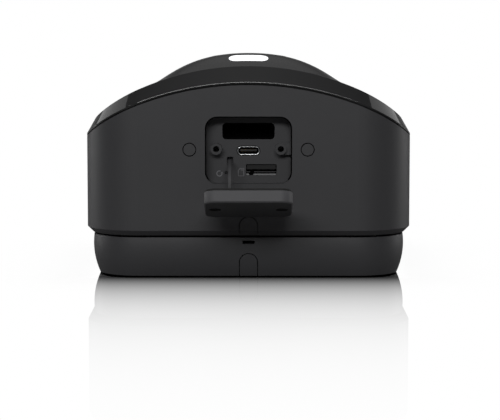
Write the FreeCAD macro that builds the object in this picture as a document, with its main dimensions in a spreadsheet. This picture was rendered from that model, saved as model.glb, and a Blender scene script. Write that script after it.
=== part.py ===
"""Wide-angle security camera with its mounting base, as an assembly of separate pieces.

Millimetres. +X is right and +Y is away from a viewer who faces the port side. +Z is up with the
camera lying on its mounting base. The origin is the centre of the wall screw pattern, in the
plane that the base rests on.
"""

import FreeCAD, Part
import math
import os
import re
import Sketcher
from FreeCAD import Placement, Rotation, Vector

SIZES = {
    # Housing
    "body_width": 132.0,
    "body_depth": 104.0,
    "body_corner": 22.0,
    "body_bottom": 17.2,
    "body_wall": 2.4,
    "underside_rise": 2.8,
    "floor_thickness": 2.6,
    "skirt_width": 6.0,
    "edge_bevel_run": 2.1,
    "edge_bevel_rise": 2.1,
    # Seam between housing and front cover, an arch that falls towards the far side
    "seam_radius": 125.0,
    "seam_apex": 77.8,
    "seam_gap": 0.5,
    "face_tilt": 7.7,
    "seal_width": 1.5,
    "seal_setback": 0.6,
    # Front cover
    "lip_height": 0.7,
    "face_radius": 110.0,
    "face_apex": 85.47,
    "band_inset": 3.4,
    "cover_wall": 2.6,
    "cover_ring": 6.2,
    "tongue_thickness": 2.0,
    "tongue_depth": 3.0,
    "assembly_gap": 0.2,
    # Nose of the front cover
    "nose_half_width": 40.0,
    "nose_rise": 7.5,
    "nose_ramp": 24.0,
    "nose_start": 0.3,
    # Posts and through screws that clamp housing, frame and cover
    "post_spacing_across": 104.0,
    "post_spacing_along": 68.0,
    "post_radius": 4.0,
    "frame_level": 47.9,
    "frame_thickness": 2.0,
    "clamp_screw_radius": 1.5,
    "clamp_screw_head_radius": 2.9,
    "clamp_screw_head": 2.5,
    "clamp_screw_grip": 6.0,
    "screw_play": 0.1,
    # Mounting base
    "base_setback": 2.45,
    "base_gap": 0.9,
    "pad_thickness": 0.5,
    "barrel_radius": 29.4,
    "barrel_level": 12.3,
    "base_wall": 3.2,
    "base_foot_wall": 6.0,
    "base_foot_rise": 4.0,
    "base_floor": 2.6,
    "wall_screw_across": 70.0,
    "wall_screw_along": 50.0,
    "wall_screw_radius": 2.25,
    "wall_screw_boss_radius": 6.0,
    "wall_screw_boss": 1.4,
    "cable_hole_radius": 6.0,
    "seat_post_across": 96.0,
    "seat_post_along": 60.0,
    "seat_post_radius": 4.5,
    "seat_clearance": 0.3,
    "pad_width": 12.4,
    "pad_length": 7.0,
    "pad_across": 45.6,
    "pad_along": 82.0,
    "pad_corner": 1.5,
    # Cable knock-outs and the release
    "knockout_width": 7.7,
    "knockout_top": 25.1,
    "base_knockout_top": 10.0,
    "outline_gap": 0.35,
    "knockout_depth": 1.5,
    "release_slot_width": 4.9,
    "release_slot_height": 1.4,
    "release_slot_level": 14.4,
    "latch_width": 14.0,
    "latch_thickness": 2.0,
    "latch_height": 12.2,
    "latch_hook_width": 9.0,
    "latch_hook_rise": 3.0,
    "latch_hook_thickness": 1.6,
    "guide_width": 2.0,
    "guide_height": 6.0,
    "guide_length": 5.0,
    # Port bay
    "bay_width": 34.8,
    "bay_bottom": 38.1,
    "bay_height": 27.0,
    "bay_corner": 4.9,
    "bay_depth": 6.0,
    "bay_floor": 2.0,
    "bay_side": 2.0,
    "bay_flange": 4.2,
    "bay_flange_thickness": 2.0,
    "pocket_width": 21.0,
    "pocket_height": 6.6,
    "pocket_level": 58.9,
    "pocket_corner": 1.6,
    "pocket_depth": 10.0,
    "pocket_wall": 1.6,
    "boss_spacing": 25.9,
    "boss_level": 51.9,
    "boss_radius": 2.3,
    "boss_bore_radius": 1.25,
    "boss_height": 3.4,
    "boss_tail": 5.0,
    "boss_bore_depth": 7.4,
    "land_height": 4.7,
    "land_rise": 2.2,
    "strap_slot_offset": 7.4,
    "strap_slot_width": 2.6,
    "strap_slot_height": 2.8,
    "strap_slot_level": 47.2,
    "pinhole_offset": 9.0,
    "pinhole_level": 42.2,
    "pinhole_radius": 0.65,
    "card_slot_centre": 5.15,
    "card_slot_width": 12.3,
    "card_slot_level": 44.1,
    "card_slot_height": 3.0,
    "card_lip": 0.8,
    "card_notch_centre": 1.5,
    "card_notch_width": 1.6,
    # Bay screws and their plugs
    "plug_spacing": 47.2,
    "plug_level": 51.9,
    "plug_radius": 2.5,
    "plug_thickness": 1.2,
    "plug_play": 0.15,
    "plug_pocket": 2.9,
    "plug_boss_radius": 4.0,
    "plug_boss": 2.0,
    "bay_screw_radius": 1.25,
    "bay_screw_head_radius": 2.2,
    "bay_screw_head": 1.5,
    "bay_screw_length": 7.8,
    "ear_radius": 3.2,
    "ear_length": 7.0,
    "ear_plate": 2.0,
    "ear_height": 7.0,
    # Port board and what it carries
    "port_board_level": 45.5,
    "port_board_thickness": 1.6,
    "port_board_width": 35.0,
    "port_board_length": 19.5,
    "board_standoff": 0.5,
    "shelf_width": 3.0,
    "shelf_thickness": 1.6,
    "usb_level": 51.2,
    "usb_width": 8.94,
    "usb_height": 3.2,
    "usb_sheet": 0.3,
    "usb_length": 7.4,
    "usb_proud": 0.4,
    "usb_opening_play": 0.25,
    "usb_tongue_width": 6.7,
    "usb_tongue_height": 0.7,
    "usb_tongue_set": 0.6,
    "contact_width": 0.25,
    "contact_pitch": 0.5,
    "contact_rise": 0.06,
    "card_socket_width": 14.1,
    "card_socket_length": 15.0,
    "card_socket_height": 2.5,
    "card_width": 11.4,
    "card_gap": 1.0,
    "button_radius": 0.35,
    "button_stem": 1.8,
    "button_flange_radius": 1.3,
    "button_flange": 0.8,
    "button_travel": 0.4,
    "switch_width": 6.3,
    "switch_length": 4.0,
    "switch_height": 5.0,
    "anchor_width": 4.4,
    "anchor_height": 3.4,
    "anchor_thickness": 1.6,
    "anchor_rise": 0.3,
    "notch_play": 0.6,
    # Port cover, its strap and its hinge
    "cover_play": 0.3,
    "lid_thickness": 5.7,
    "lid_plate": 1.8,
    "lid_rim": 1.5,
    "lid_lip": 0.8,
    "lid_hole_radius": 1.35,
    "lid_sink_radius": 2.4,
    "lid_edge": 0.5,
    "gasket_inset": 0.4,
    "gasket_overhang": 0.1,
    "notch_clearance": 0.4,
    "strap_pull": 8.0,
    "lid_swing": 71.2,
    "hinge_out": 0.3,
    "hinge_level": 30.5,
    "strap_width": 1.6,
    "strap_thickness": 1.0,
    "strap_play": 0.25,
    "strap_first_out": 4.5,
    "strap_first_drop": 1.4,
    "strap_second_out": 8.0,
    "strap_second_drop": 5.5,
    "strap_third_out": 9.2,
    "strap_third_drop": 11.5,
    "strap_neck": 0.8,
    "strap_lug_width": 3.2,
    "strap_lug_height": 1.2,
    "strap_lug_length": 3.6,
    # Lens
    "lens_along": 46.0,
    "bezel_radius": 16.5,
    "bezel_inner_radius": 13.0,
    "bezel_proud": 0.35,
    "bezel_depth": 2.6,
    "lens_boss_radius": 19.5,
    "lens_boss_depth": 7.0,
    "lens_hole_radius": 14.0,
    "dome_radius": 12.9,
    "dome_rise": 3.4,
    "dome_wall": 1.4,
    "dome_flange": 1.0,
    "barrel_outer": 9.0,
    "barrel_length": 14.0,
    "dome_flange_width": 1.0,
    "dome_play": 0.2,
    "barrel_seat_depth": 4.0,
    "barrel_collar": 2.0,
    "front_element_radius": 7.4,
    "front_element_edge": 3.0,
    "front_element_rise": 1.8,
    "rear_element_edge": 1.2,
    "rear_element_rise": 0.9,
    "first_rear_element": 6.0,
    "second_rear_element": 9.5,
    "rear_element_radius": 5.0,
    "holder_width": 22.0,
    "holder_depth": 6.0,
    "filter_width": 11.0,
    "filter_level": 1.0,
    "filter_play": 0.4,
    "filter_thickness": 0.4,
    "sensor_width": 10.0,
    "sensor_length": 8.0,
    "sensor_thickness": 1.2,
    "camera_board_width": 36.0,
    "camera_board_length": 30.0,
    "camera_board_thickness": 1.2,
    "camera_boss_across": 30.0,
    "camera_boss_along": 23.0,
    "small_boss_radius": 2.2,
    "small_screw_radius": 0.8,
    "small_screw_head_radius": 1.6,
    "small_screw_head": 1.0,
    "small_screw_length": 5.0,
    # Infrared light at both sides
    "lamp_setback": 15.0,
    "lamp_along": 45.0,
    "lamp_window_length": 20.0,
    "lamp_window_width": 8.0,
    "window_thickness": 2.0,
    "window_play": 0.1,
    "lamp_shroud_depth": 4.0,
    "lamp_shroud_wall": 1.2,
    "lamp_board_thickness": 1.2,
    "lamp_led_width": 3.0,
    "lamp_led_height": 1.4,
    "lamp_led_pitch": 6.0,
    # Motion sensor and status light
    "motion_along": 72.0,
    "motion_radius": 5.2,
    "motion_rise": 2.6,
    "motion_wall": 0.8,
    "motion_can_rim": 0.5,
    "motion_can_radius": 4.5,
    "motion_can_height": 4.2,
    "sensor_board_width": 24.0,
    "sensor_board_length": 13.0,
    "sensor_board_thickness": 1.2,
    "sensor_board_depth": 9.5,
    "sensor_boss_offset": 8.0,
    "light_sensor_offset": 8.5,
    "light_sensor_width": 2.0,
    "light_sensor_height": 0.8,
    "light_pipe_radius": 0.9,
    "microphone_width": 3.4,
    "microphone_height": 1.2,
    "mic_hole_radius": 0.6,
    "status_along": 11.6,
    "status_length": 15.8,
    "status_width": 6.7,
    "status_slope": 23.0,
    "status_depth": 4.6,
    "status_board_thickness": 1.0,
    "status_led_width": 2.0,
    "status_led_height": 0.8,
    # Electronics and battery
    "board_width": 84.0,
    "board_length": 54.0,
    "board_centre": 7.0,
    "board_thickness": 1.6,
    "board_corner": 3.0,
    "standoff_height": 3.0,
    "standoff_radius": 2.6,
    "standoff_inset": 4.0,
    "frame_side_gap": 8.0,
    "frame_near": 22.0,
    "frame_far": 40.0,
    "frame_ear_width": 13.0,
    "frame_ear_reach": 17.0,
    "frame_window_width": 30.0,
    "frame_window_length": 12.0,
    "shield_width": 26.0,
    "shield_length": 22.0,
    "shield_height": 2.6,
    "shield_offset": 22.0,
    "thermal_pad_thickness": 0.8,
    "spreader_thickness": 1.2,
    "cell_radius": 10.6,
    "cell_length": 70.0,
    "cell_spacing": 24.0,
    "cell_centre": 8.0,
    "holder_wall": 2.0,
    "battery_cradle_rise": 9.0,
    "antenna_length": 36.0,
    "antenna_height": 9.0,
    "antenna_thickness": 0.4,
    "speaker_radius": 14.0,
    "speaker_level": 38.9,
    "speaker_depth": 6.0,
    "speaker_flange": 1.6,
    "cone_radius": 12.0,
    "mesh_thickness": 0.3,
    "sound_slot_width": 18.0,
    "sound_slot_height": 1.6,
    "sound_slot_pitch": 3.4,
    "sound_slots": 5,
    # Clearance between neighbours that stay put, and between pieces that move past each other
    "touch_gap": 0.1,
    "moving_gap": 0.3,
}

doc = FreeCAD.newDocument("Camera")
sheet = doc.addObject("Spreadsheet::Sheet", "Sizes")
for row, (word, number) in enumerate(SIZES.items(), 1):
    sheet.set(f"A{row}", word.replace("_", " "))
    sheet.set(f"B{row}", str(number))
    sheet.setAlias(f"B{row}", word)
doc.recompute()


def size(word):
    """Read one size from the sheet."""
    return float(sheet.get(word))


def bind(item, prop, formula):
    """Tie a property to a formula that names sizes of the sheet."""
    named = re.sub(r"[a-z]\w+", lambda m: f"Sizes.{m[0]}" if m[0] in SIZES else m[0], formula)
    item.setExpression(prop, named)


# Heights and depths that many pieces share, as formulas on the sheet

FRONT = "-body_depth / 2"
BACK = "body_depth / 2"
FLOOR_TOP = "(body_bottom + underside_rise + floor_thickness)"
BAY_FLOOR = "(-body_depth / 2 + bay_depth)"
BAY_REAR = "(-body_depth / 2 + bay_depth + bay_floor)"
BAY_CENTRE = "(bay_bottom + bay_height / 2)"
FRAME_TOP = "(frame_level + frame_thickness)"
BASE_FRONT = "(-body_depth / 2 + base_setback)"
BASE_FLOOR_TOP = "(pad_thickness + base_floor)"
BOARD_BOTTOM = "(frame_level + frame_thickness + standoff_height)"
FRAME_WIDTH = "(body_width - 2 * frame_side_gap)"
TONGUE_SIDE = "(body_width / 2 - body_wall - assembly_gap)"
SEAM_SIDE = f"(seam_apex - seam_radius + sqrt(seam_radius ^ 2 - {TONGUE_SIDE} ^ 2))"
ANTENNA_FALL = "(tan(face_tilt * 1 deg) * (body_depth + antenna_length) / 2)"
ANTENNA_LEVEL = f"({SEAM_SIDE} - {ANTENNA_FALL} - tongue_depth - touch_gap - antenna_height)"

# How far a cutting tool reaches out of the face that it cuts
CLEAR_OF = 5.0
# The rounding of a slot's ends as a share of half its width, which leaves a short straight edge
NEARLY_ROUND = 0.98

EDGES_ALONG = {"x": (9, 10, 11, 12), "y": (2, 4, 6, 8), "z": (1, 3, 5, 7)}
TURN_TO = {
    "x": Rotation(Vector(0, 1, 0), 90),
    "y": Rotation(Vector(1, 0, 0), -90),
    "z": Rotation(),
}


def block(name, x, y, z, along=None, radius=0.0):
    """A box between pairs of formulas, with its edges along one axis rounded where asked."""
    box = doc.addObject("Part::Box", name)
    for axis, side, (low, high) in zip("xyz", ("Length", "Width", "Height"), (x, y, z)):
        bind(box, side, f"({high}) - ({low})")
        bind(box, f"Placement.Base.{axis}", low)
    if along is None:
        return box
    rounded = doc.addObject("Part::Fillet", f"{name}_rounded")
    rounded.Base = box
    rounded.Edges = [(edge, radius, radius) for edge in EDGES_ALONG[along]]
    return rounded


def centred(name, across, y, z, along=None, radius=0.0):
    """A block whose width across X is centred on the middle of the object."""
    return block(name, (f"-({across}) / 2", f"({across}) / 2"), y, z, along, radius)


def rod(name, axis, centre, radius, start, end):
    """A cylinder along an axis; centre holds its other two coordinates as formulas."""
    cylinder = doc.addObject("Part::Cylinder", name)
    cylinder.Placement = Placement(Vector(), TURN_TO[axis])
    others = [letter for letter in "xyz" if letter != axis]
    bind(cylinder, "Radius", radius)
    bind(cylinder, "Height", f"({end}) - ({start})")
    bind(cylinder, f"Placement.Base.{axis}", start)
    for letter, formula in zip(others, centre):
        bind(cylinder, f"Placement.Base.{letter}", formula)
    return cylinder


def cone(name, axis, centre, radius_start, radius_end, start, end):
    """A cone along an axis, from one radius to another."""
    item = doc.addObject("Part::Cone", name)
    item.Placement = Placement(Vector(), TURN_TO[axis])
    others = [letter for letter in "xyz" if letter != axis]
    bind(item, "Radius1", radius_start)
    bind(item, "Radius2", radius_end)
    bind(item, "Height", f"({end}) - ({start})")
    bind(item, f"Placement.Base.{axis}", start)
    for letter, formula in zip(others, centre):
        bind(item, f"Placement.Base.{letter}", formula)
    return item


def join(name, *pieces):
    """One solid from several that meet or overlap."""
    item = doc.addObject("Part::MultiFuse", name)
    item.Shapes = list(pieces)
    return item


def cut(name, base, *tools):
    """A piece with others taken out of it."""
    item = doc.addObject("Part::Cut", name)
    item.Base = base
    item.Tool = tools[0] if len(tools) == 1 else join(f"{name}_tools", *tools)
    return item


def overlap(name, *pieces):
    """What several pieces have in common."""
    item = doc.addObject("Part::MultiCommon", name)
    item.Shapes = list(pieces)
    return item


def group(name, *pieces):
    """Separate like solids kept together as one sub-part."""
    item = doc.addObject("Part::Compound", name)
    item.Links = list(pieces)
    return item


def shaped(name, shape):
    """A form drawn with surfaces, where no primitive fits."""
    item = doc.addObject("Part::Feature", name)
    item.Shape = shape
    return item


SIGNS = {"left": "-", "right": ""}
ENDS = {"near": "-", "far": ""}
NODES = {}


def sub_part(name, item, placement=None):
    """Register a finished sub-part under the name that its file gets."""
    item.Label = name
    if placement is not None:
        item.Placement = placement.multiply(item.Placement)
    NODES[name] = item
    return item


# Sketch based bodies


def origin_plane(body, role):
    """One of the body's own origin planes."""
    return next(plane for plane in body.Origin.OriginFeatures if plane.Role == role)


def sketch_on(body, name, role, offset):
    """An empty sketch on an origin plane, shifted by three formulas in the plane's axes."""
    sketch = body.newObject("Sketcher::SketchObject", name)
    sketch.AttachmentSupport = (origin_plane(body, role), [""])
    sketch.MapMode = "FlatFace"
    for axis, formula in zip("xyz", offset):
        bind(sketch, f"AttachmentOffset.Base.{axis}", formula)
    return sketch


def rounded_outline(sketch, width, height, radius, formulas):
    """A rounded rectangle about the sketch's origin. Its sizes then follow three formulas."""
    reach_x = width / 2 - radius
    reach_y = height / 2 - radius
    corners = ((reach_x, -reach_y), (reach_x, reach_y), (-reach_x, reach_y), (-reach_x, -reach_y))
    outward = ((0, -1), (1, 0), (0, 1), (-1, 0))
    for side, (step_x, step_y) in enumerate(outward):
        start = Vector(*corners[side - 1], 0) + Vector(step_x, step_y, 0) * radius
        end = Vector(*corners[side], 0) + Vector(step_x, step_y, 0) * radius
        sketch.addGeometry(Part.LineSegment(start, end))
    for corner, (centre_x, centre_y) in enumerate(corners):
        circle = Part.Circle(Vector(centre_x, centre_y, 0), Vector(0, 0, 1), radius)
        start_angle = (corner - 1) * math.pi / 2
        sketch.addGeometry(Part.ArcOfCircle(circle, start_angle, start_angle + math.pi / 2))
    for side in range(4):
        sketch.addConstraint(Sketcher.Constraint("Tangent", side, 2, side + 4, 1))
        sketch.addConstraint(Sketcher.Constraint("Tangent", side + 4, 2, (side + 1) % 4, 1))
        sketch.addConstraint(Sketcher.Constraint("Vertical" if side % 2 else "Horizontal", side))
    for corner in (4, 5, 6):
        sketch.addConstraint(Sketcher.Constraint("Equal", corner, corner + 1))
    sketch.addConstraint(Sketcher.Constraint("Symmetric", 4, 3, 6, 3, -1, 1))
    driving = (
        Sketcher.Constraint("DistanceX", 7, 3, 4, 3, 2 * reach_x),
        Sketcher.Constraint("DistanceY", 4, 3, 5, 3, 2 * reach_y),
        Sketcher.Constraint("Radius", 4, radius),
    )
    wide, tall, corner_radius = formulas
    targets = (
        f"({wide}) - 2 * ({corner_radius})",
        f"({tall}) - 2 * ({corner_radius})",
        corner_radius,
    )
    for constraint, formula in zip(driving, targets):
        bind(sketch, f"Constraints[{sketch.addConstraint(constraint)}]", formula)


def circle_outlines(sketch, radius, centres, formula, centre_formulas):
    """Equal circles at signed places. Radius and places then follow their formulas."""
    for number, (centre, places) in enumerate(zip(centres, centre_formulas)):
        sketch.addGeometry(Part.Circle(Vector(*centre, 0), Vector(0, 0, 1), radius))
        index = sketch.addConstraint(Sketcher.Constraint("Radius", number, radius))
        bind(sketch, f"Constraints[{index}]", formula)
        for kind, value, place in zip(("DistanceX", "DistanceY"), centre, places):
            index = sketch.addConstraint(Sketcher.Constraint(kind, -1, 1, number, 3, value))
            bind(sketch, f"Constraints[{index}]", place)


def four_centres(across, along, middle=""):
    """The corners of a rectangle of two sizes, as numbers and as formulas."""
    shift = size(middle) if middle else 0.0
    added = f" + {middle}" if middle else ""
    numbers, formulas = [], []
    for side in (-1, 1):
        for end in (-1, 1):
            numbers.append((side * size(across) / 2, end * size(along) / 2 + shift))
            formulas.append((f"{side} * {across} / 2", f"{end} * {along} / 2{added}"))
    return numbers, formulas


def pad(body, sketch, length):
    """Material added along the sketch's normal."""
    item = body.newObject("PartDesign::Pad", f"{sketch.Name}_pad")
    item.Profile = sketch
    bind(item, "Length", length)
    return item


def pocket(body, sketch, length):
    """Material taken away, against the sketch's normal."""
    before = body.Shape.Volume
    item = body.newObject("PartDesign::Pocket", f"{sketch.Name}_pocket")
    item.Profile = sketch
    bind(item, "Length", length)
    doc.recompute()
    if body.Shape.Volume >= before:
        raise ValueError(f"{sketch.Name} takes nothing away")
    return item


# Arched forms of the seam and of the face, which share one tilted direction

TILT = Rotation(Vector(1, 0, 0), -size("face_tilt"))
TILT_RADIANS = math.radians(size("face_tilt"))
HALF_WIDTH = size("body_width") / 2
HALF_DEPTH = size("body_depth") / 2


def arch_below(radius, apex):
    """Everything below an arch of a given radius, whose crown crosses the near wall at a height."""
    reach = HALF_WIDTH + size("body_corner")
    drop = radius - math.sqrt(radius**2 - reach**2)
    low = -size("body_depth")
    corners = [Vector(reach, 0, -drop), Vector(reach, 0, low), Vector(-reach, 0, low),
               Vector(-reach, 0, -drop)]
    crown = Part.Arc(corners[3], Vector(0, 0, 0), corners[0]).toShape()
    sides = [Part.makeLine(start, end) for start, end in zip(corners, corners[1:])]
    face = Part.Face(Part.Wire([crown] + sides))
    length = 3 * size("body_depth")
    solid = face.extrude(Vector(0, length, 0))
    solid.translate(Vector(0, -length / 3, 0))
    solid.Placement = Placement(Vector(0, -HALF_DEPTH, apex), TILT).multiply(solid.Placement)
    return solid


def plan_prism(inset, low, high):
    """The rounded plan of the body, drawn in by an inset, between two heights."""
    wide = HALF_WIDTH - inset
    deep = HALF_DEPTH - inset
    box = Part.makeBox(2 * wide, 2 * deep, high - low, Vector(-wide, -deep, low))
    upright = [edge for edge in box.Edges if abs(edge.Vertexes[0].Z - edge.Vertexes[1].Z) > 0]
    return box.makeFillet(size("body_corner") - inset, upright)


def arched_face(solid, radius):
    """The one face of a solid that lies on an arch of this radius."""
    return next(
        face for face in solid.Faces
        if isinstance(face.Surface, Part.Cylinder) and abs(face.Surface.Radius - radius) < 1e-6
    )


ABOVE_ALL = size("face_apex") + 2 * size("nose_rise")
LIP_TOP = size("seam_apex") + size("seam_gap") / 2 + size("lip_height")


def face_height(x, y):
    """Height of the arched face above a point of the plan."""
    drop = size("face_radius") - math.sqrt(size("face_radius") ** 2 - x**2)
    return size("face_apex") - math.tan(TILT_RADIANS) * (y + HALF_DEPTH) - drop / math.cos(TILT_RADIANS)


def ramp(share):
    """Rises from 0 to 1 with a flat, evenly curved end; falls below 0 before its start."""
    share = min(share, 1.0)
    return share * (15 - 10 * share**2 + 3 * share**4) / 8


def nose_height(x, y):
    """Height of the nose above a point of the plan."""
    start = HALF_DEPTH - size("band_inset") - size("nose_start")
    near = (start + y) / size("nose_ramp")
    far = (start - y) / size("nose_ramp")
    across = 1 - abs(x / size("nose_half_width")) ** 3
    lengthwise = min(ramp(near), ramp(far))
    if across < 0:
        lengthwise = max(lengthwise, 0.3)
    return face_height(x, y) + size("nose_rise") * lengthwise * across


def nose_below(sink):
    """Everything below the nose's surface, sunk by a depth, down to the seam's height."""
    columns = 17
    rows = 31
    reach_x = size("nose_half_width") + 3.0
    reach_y = HALF_DEPTH - size("band_inset") + 2.0
    grid = []
    for column in range(columns):
        x = -reach_x + 2 * reach_x * column / (columns - 1)
        ys = [-reach_y + 2 * reach_y * row / (rows - 1) for row in range(rows)]
        grid.append([Vector(x, y, nose_height(x, y) - sink) for y in ys])
    surface = Part.BSplineSurface()
    surface.interpolate(grid)
    return surface.toShape().extrude(Vector(0, 0, -size("body_depth") / 3))


def band_solid():
    """The front cover's leaning band, ruled between the lip's arch and the face's crease."""
    low = plan_prism(0.0, size("body_bottom"), ABOVE_ALL).common(
        arch_below(size("seam_radius"), LIP_TOP)
    )
    high = plan_prism(size("band_inset"), size("body_bottom"), ABOVE_ALL).common(
        arch_below(size("face_radius"), size("face_apex"))
    )
    lower = arched_face(low, size("seam_radius"))
    upper = arched_face(high, size("face_radius"))
    faces = [lower, upper]
    for edge in lower.OuterWire.OrderedEdges:
        middle = edge.valueAt((edge.FirstParameter + edge.LastParameter) / 2)
        partner = min(
            upper.OuterWire.OrderedEdges,
            key=lambda other: middle.distanceToPoint(
                other.valueAt((other.FirstParameter + other.LastParameter) / 2)
            ),
        )
        faces.append(Part.makeRuledSurface(edge, partner))
    shell = Part.Shell(faces)
    shell.sewShape()
    band = Part.Solid(shell)
    if band.Volume < 0:
        band.reverse()
    return low.fuse(band)


def cover_outer_form():
    """The front cover's outer form as a full block: lip, band, face and nose."""
    inset = size("band_inset") + size("nose_start") / 2
    nose = nose_below(0.0).common(plan_prism(inset, size("body_bottom"), ABOVE_ALL))
    return band_solid().fuse(nose)


def cover_hollow_form():
    """The space under the front cover's wall."""
    sink = size("cover_wall")
    under_face = arch_below(size("face_radius"), size("face_apex") - sink)
    room = under_face.fuse(nose_below(sink))
    return room.common(plan_prism(size("cover_ring"), size("body_bottom"), ABOVE_ALL))


OUTER = cover_outer_form()
HOLLOW = cover_hollow_form()


def face_frame(x, along, slope=0.0):
    """A local frame on the front cover: Z outwards, X across, Y towards the far side.

    along is the distance in plan from the near wall, slope an extra turn about X.
    """
    y = along - HALF_DEPTH
    lean = math.degrees(math.asin(x / size("face_radius")))
    on_nose = abs(x) < size("nose_half_width")
    height = nose_height(x, y) if on_nose else face_height(x, y)
    turn = TILT.multiply(Rotation(Vector(0, 1, 0), lean)).multiply(Rotation(Vector(1, 0, 0), slope))
    return Placement(Vector(x, y, height), turn)


LENS = face_frame(0.0, size("lens_along"))
MOTION = face_frame(0.0, size("motion_along"))
STATUS = face_frame(0.0, size("status_along"), size("status_slope") + size("face_tilt"))
LAMPS = {
    side: face_frame(float(f"{sign}1") * (HALF_WIDTH - size("lamp_setback")), size("lamp_along"))
    for side, sign in SIGNS.items()
}


def placed(item, placement):
    """Set a piece into a local frame."""
    item.Placement = placement.multiply(item.Placement)
    return item


def local_prism(name, width, length, low, high, radius, frame):
    """A rounded prism in a local frame, as a form to cut with or to trim."""
    box = Part.makeBox(width, length, high - low, Vector(-width / 2, -length / 2, low))
    upright = [edge for edge in box.Edges if abs(edge.Vertexes[0].Z - edge.Vertexes[1].Z) > 0]
    solid = box.makeFillet(radius, upright)
    solid.Placement = frame
    return shaped(name, solid)


def local_rod(name, radius, low, high, frame, x=0.0, y=0.0):
    """A cylinder in a local frame."""
    solid = Part.makeCylinder(radius, high - low, Vector(x, y, low))
    solid.Placement = frame
    return shaped(name, solid)


# Housing


def make_main_housing():
    """The matte tub: rounded plan, bevelled lower edge, arched upper edge, four clamp posts."""
    body = doc.addObject("PartDesign::Body", "housing_body")
    outer = sketch_on(body, "housing_plan", "XY_Plane", ("0", "0", "body_bottom"))
    plan = ("body_width", "body_depth", "body_corner")
    rounded_outline(outer, *map(size, plan), plan)
    block_pad = pad(body, outer, "seam_apex - body_bottom + 5")
    doc.recompute()

    bevel = body.newObject("PartDesign::Chamfer", "housing_bevel")
    low_edges = [
        f"Edge{number}" for number, edge in enumerate(block_pad.Shape.Edges, 1)
        if max(abs(vertex.Z - size("body_bottom")) for vertex in edge.Vertexes) < 1e-6
    ]
    bevel.Base = (block_pad, low_edges)
    bevel.ChamferType = "Two distances"
    bind(bevel, "Size", "edge_bevel_rise")
    bind(bevel, "Size2", "edge_bevel_run")
    doc.recompute()

    room = sketch_on(body, "housing_room", "XY_Plane", ("0", "0", "seam_apex + 10"))
    wall = size("body_wall")
    rounded_outline(
        room, size("body_width") - 2 * wall, size("body_depth") - 2 * wall, size("body_corner") - wall,
        ("body_width - 2 * body_wall", "body_depth - 2 * body_wall", "body_corner - body_wall"),
    )
    pocket(body, room, f"seam_apex + 10 - {FLOOR_TOP}")

    rim = size("skirt_width")
    under = sketch_on(body, "housing_underside", "XY_Plane", ("0", "0", "body_bottom + underside_rise"))
    rounded_outline(
        under, size("body_width") - 2 * rim, size("body_depth") - 2 * rim, size("body_corner") - rim,
        ("body_width - 2 * skirt_width", "body_depth - 2 * skirt_width", "body_corner - skirt_width"),
    )
    pocket(body, under, "underside_rise + 1")

    window = sketch_on(body, "housing_bay_opening", "XZ_Plane", ("0", BAY_CENTRE, "body_depth / 2"))
    opening = ("bay_width", "bay_height", "bay_corner")
    rounded_outline(window, *map(size, opening), opening)
    pocket(body, window, "body_wall")

    centres, formulas = four_centres("post_spacing_across", "post_spacing_along")
    posts = sketch_on(body, "housing_posts", "XY_Plane", ("0", "0", f"{FLOOR_TOP} - 0.5"))
    circle_outlines(posts, size("post_radius"), centres, "post_radius", formulas)
    pad(body, posts, f"frame_level - {FLOOR_TOP} + 0.5")
    doc.recompute()
    bores = sketch_on(body, "housing_post_bores", "XY_Plane", ("0", "0", "frame_level + 1"))
    play = size("clamp_screw_radius") + size("screw_play")
    circle_outlines(bores, play, centres, "clamp_screw_radius + screw_play", formulas)
    pocket(body, bores, "frame_level + 1 - body_bottom")
    heads = sketch_on(
        body, "housing_screw_heads", "XY_Plane",
        ("0", "0", "body_bottom + underside_rise + clamp_screw_head + screw_play"),
    )
    head = size("clamp_screw_head_radius") + size("screw_play")
    circle_outlines(heads, head, centres, "clamp_screw_head_radius + screw_play", formulas)
    pocket(body, heads, "underside_rise + clamp_screw_head + screw_play")

    arch = shaped("housing_arch", arch_below(size("seam_radius"), size("seam_apex") - size("seam_gap") / 2))
    tub = overlap("housing_tub", body, arch)

    tools = [knockout_form("upper", "0", "knockout_top", "body_bottom - 1", "knockout_depth")]
    bosses = []
    for side, sign in SIGNS.items():
        centre = (f"{sign}plug_spacing / 2", "plug_level")
        tools.append(
            rod(f"plug_pocket_{side}", "y", centre, "plug_radius + plug_play", FRONT,
                f"{FRONT} + plug_pocket")
        )
        tools.append(
            rod(f"bay_screw_way_{side}", "y", centre, "bay_screw_radius + screw_play",
                FRONT, f"{FRONT} + body_wall + plug_boss + 1")
        )
        bosses.append(
            rod(f"plug_boss_{side}", "y", centre, "plug_boss_radius",
                f"{FRONT} + body_wall / 2", f"{FRONT} + body_wall + plug_boss")
        )
    for number in range(int(size("sound_slots"))):
        level = f"(speaker_level + sound_slot_pitch * ({number} - (sound_slots - 1) / 2))"
        tools.append(
            centred(f"sound_slot_{number + 1}", "sound_slot_width",
                    (f"{BACK} - body_wall - 1", f"{BACK} + 1"),
                    (f"{level} - sound_slot_height / 2", f"{level} + sound_slot_height / 2"),
                    "y", size("sound_slot_height") * 0.49)
        )
    whole = join("housing_with_bosses", tub, *bosses)
    sub_part("main_housing", cut("main_housing_cut", whole, *tools))


def knockout_form(name, margin, top, bottom, depth, front=FRONT):
    """A U-shaped prism, round at its top, drawn in by a margin all round."""
    radius = f"(knockout_width / 2 - {margin})"
    level = f"({top} - knockout_width / 2)"
    stem = block(f"knockout_stem_{name}", (f"-{radius}", radius),
                 (f"{front} - 1", f"{front} + {depth}"), (bottom, level))
    head = rod(f"knockout_head_{name}", "y", ("0", level), radius, f"{front} - 1", f"{front} + {depth}")
    return join(f"knockout_{name}", stem, head)


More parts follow.
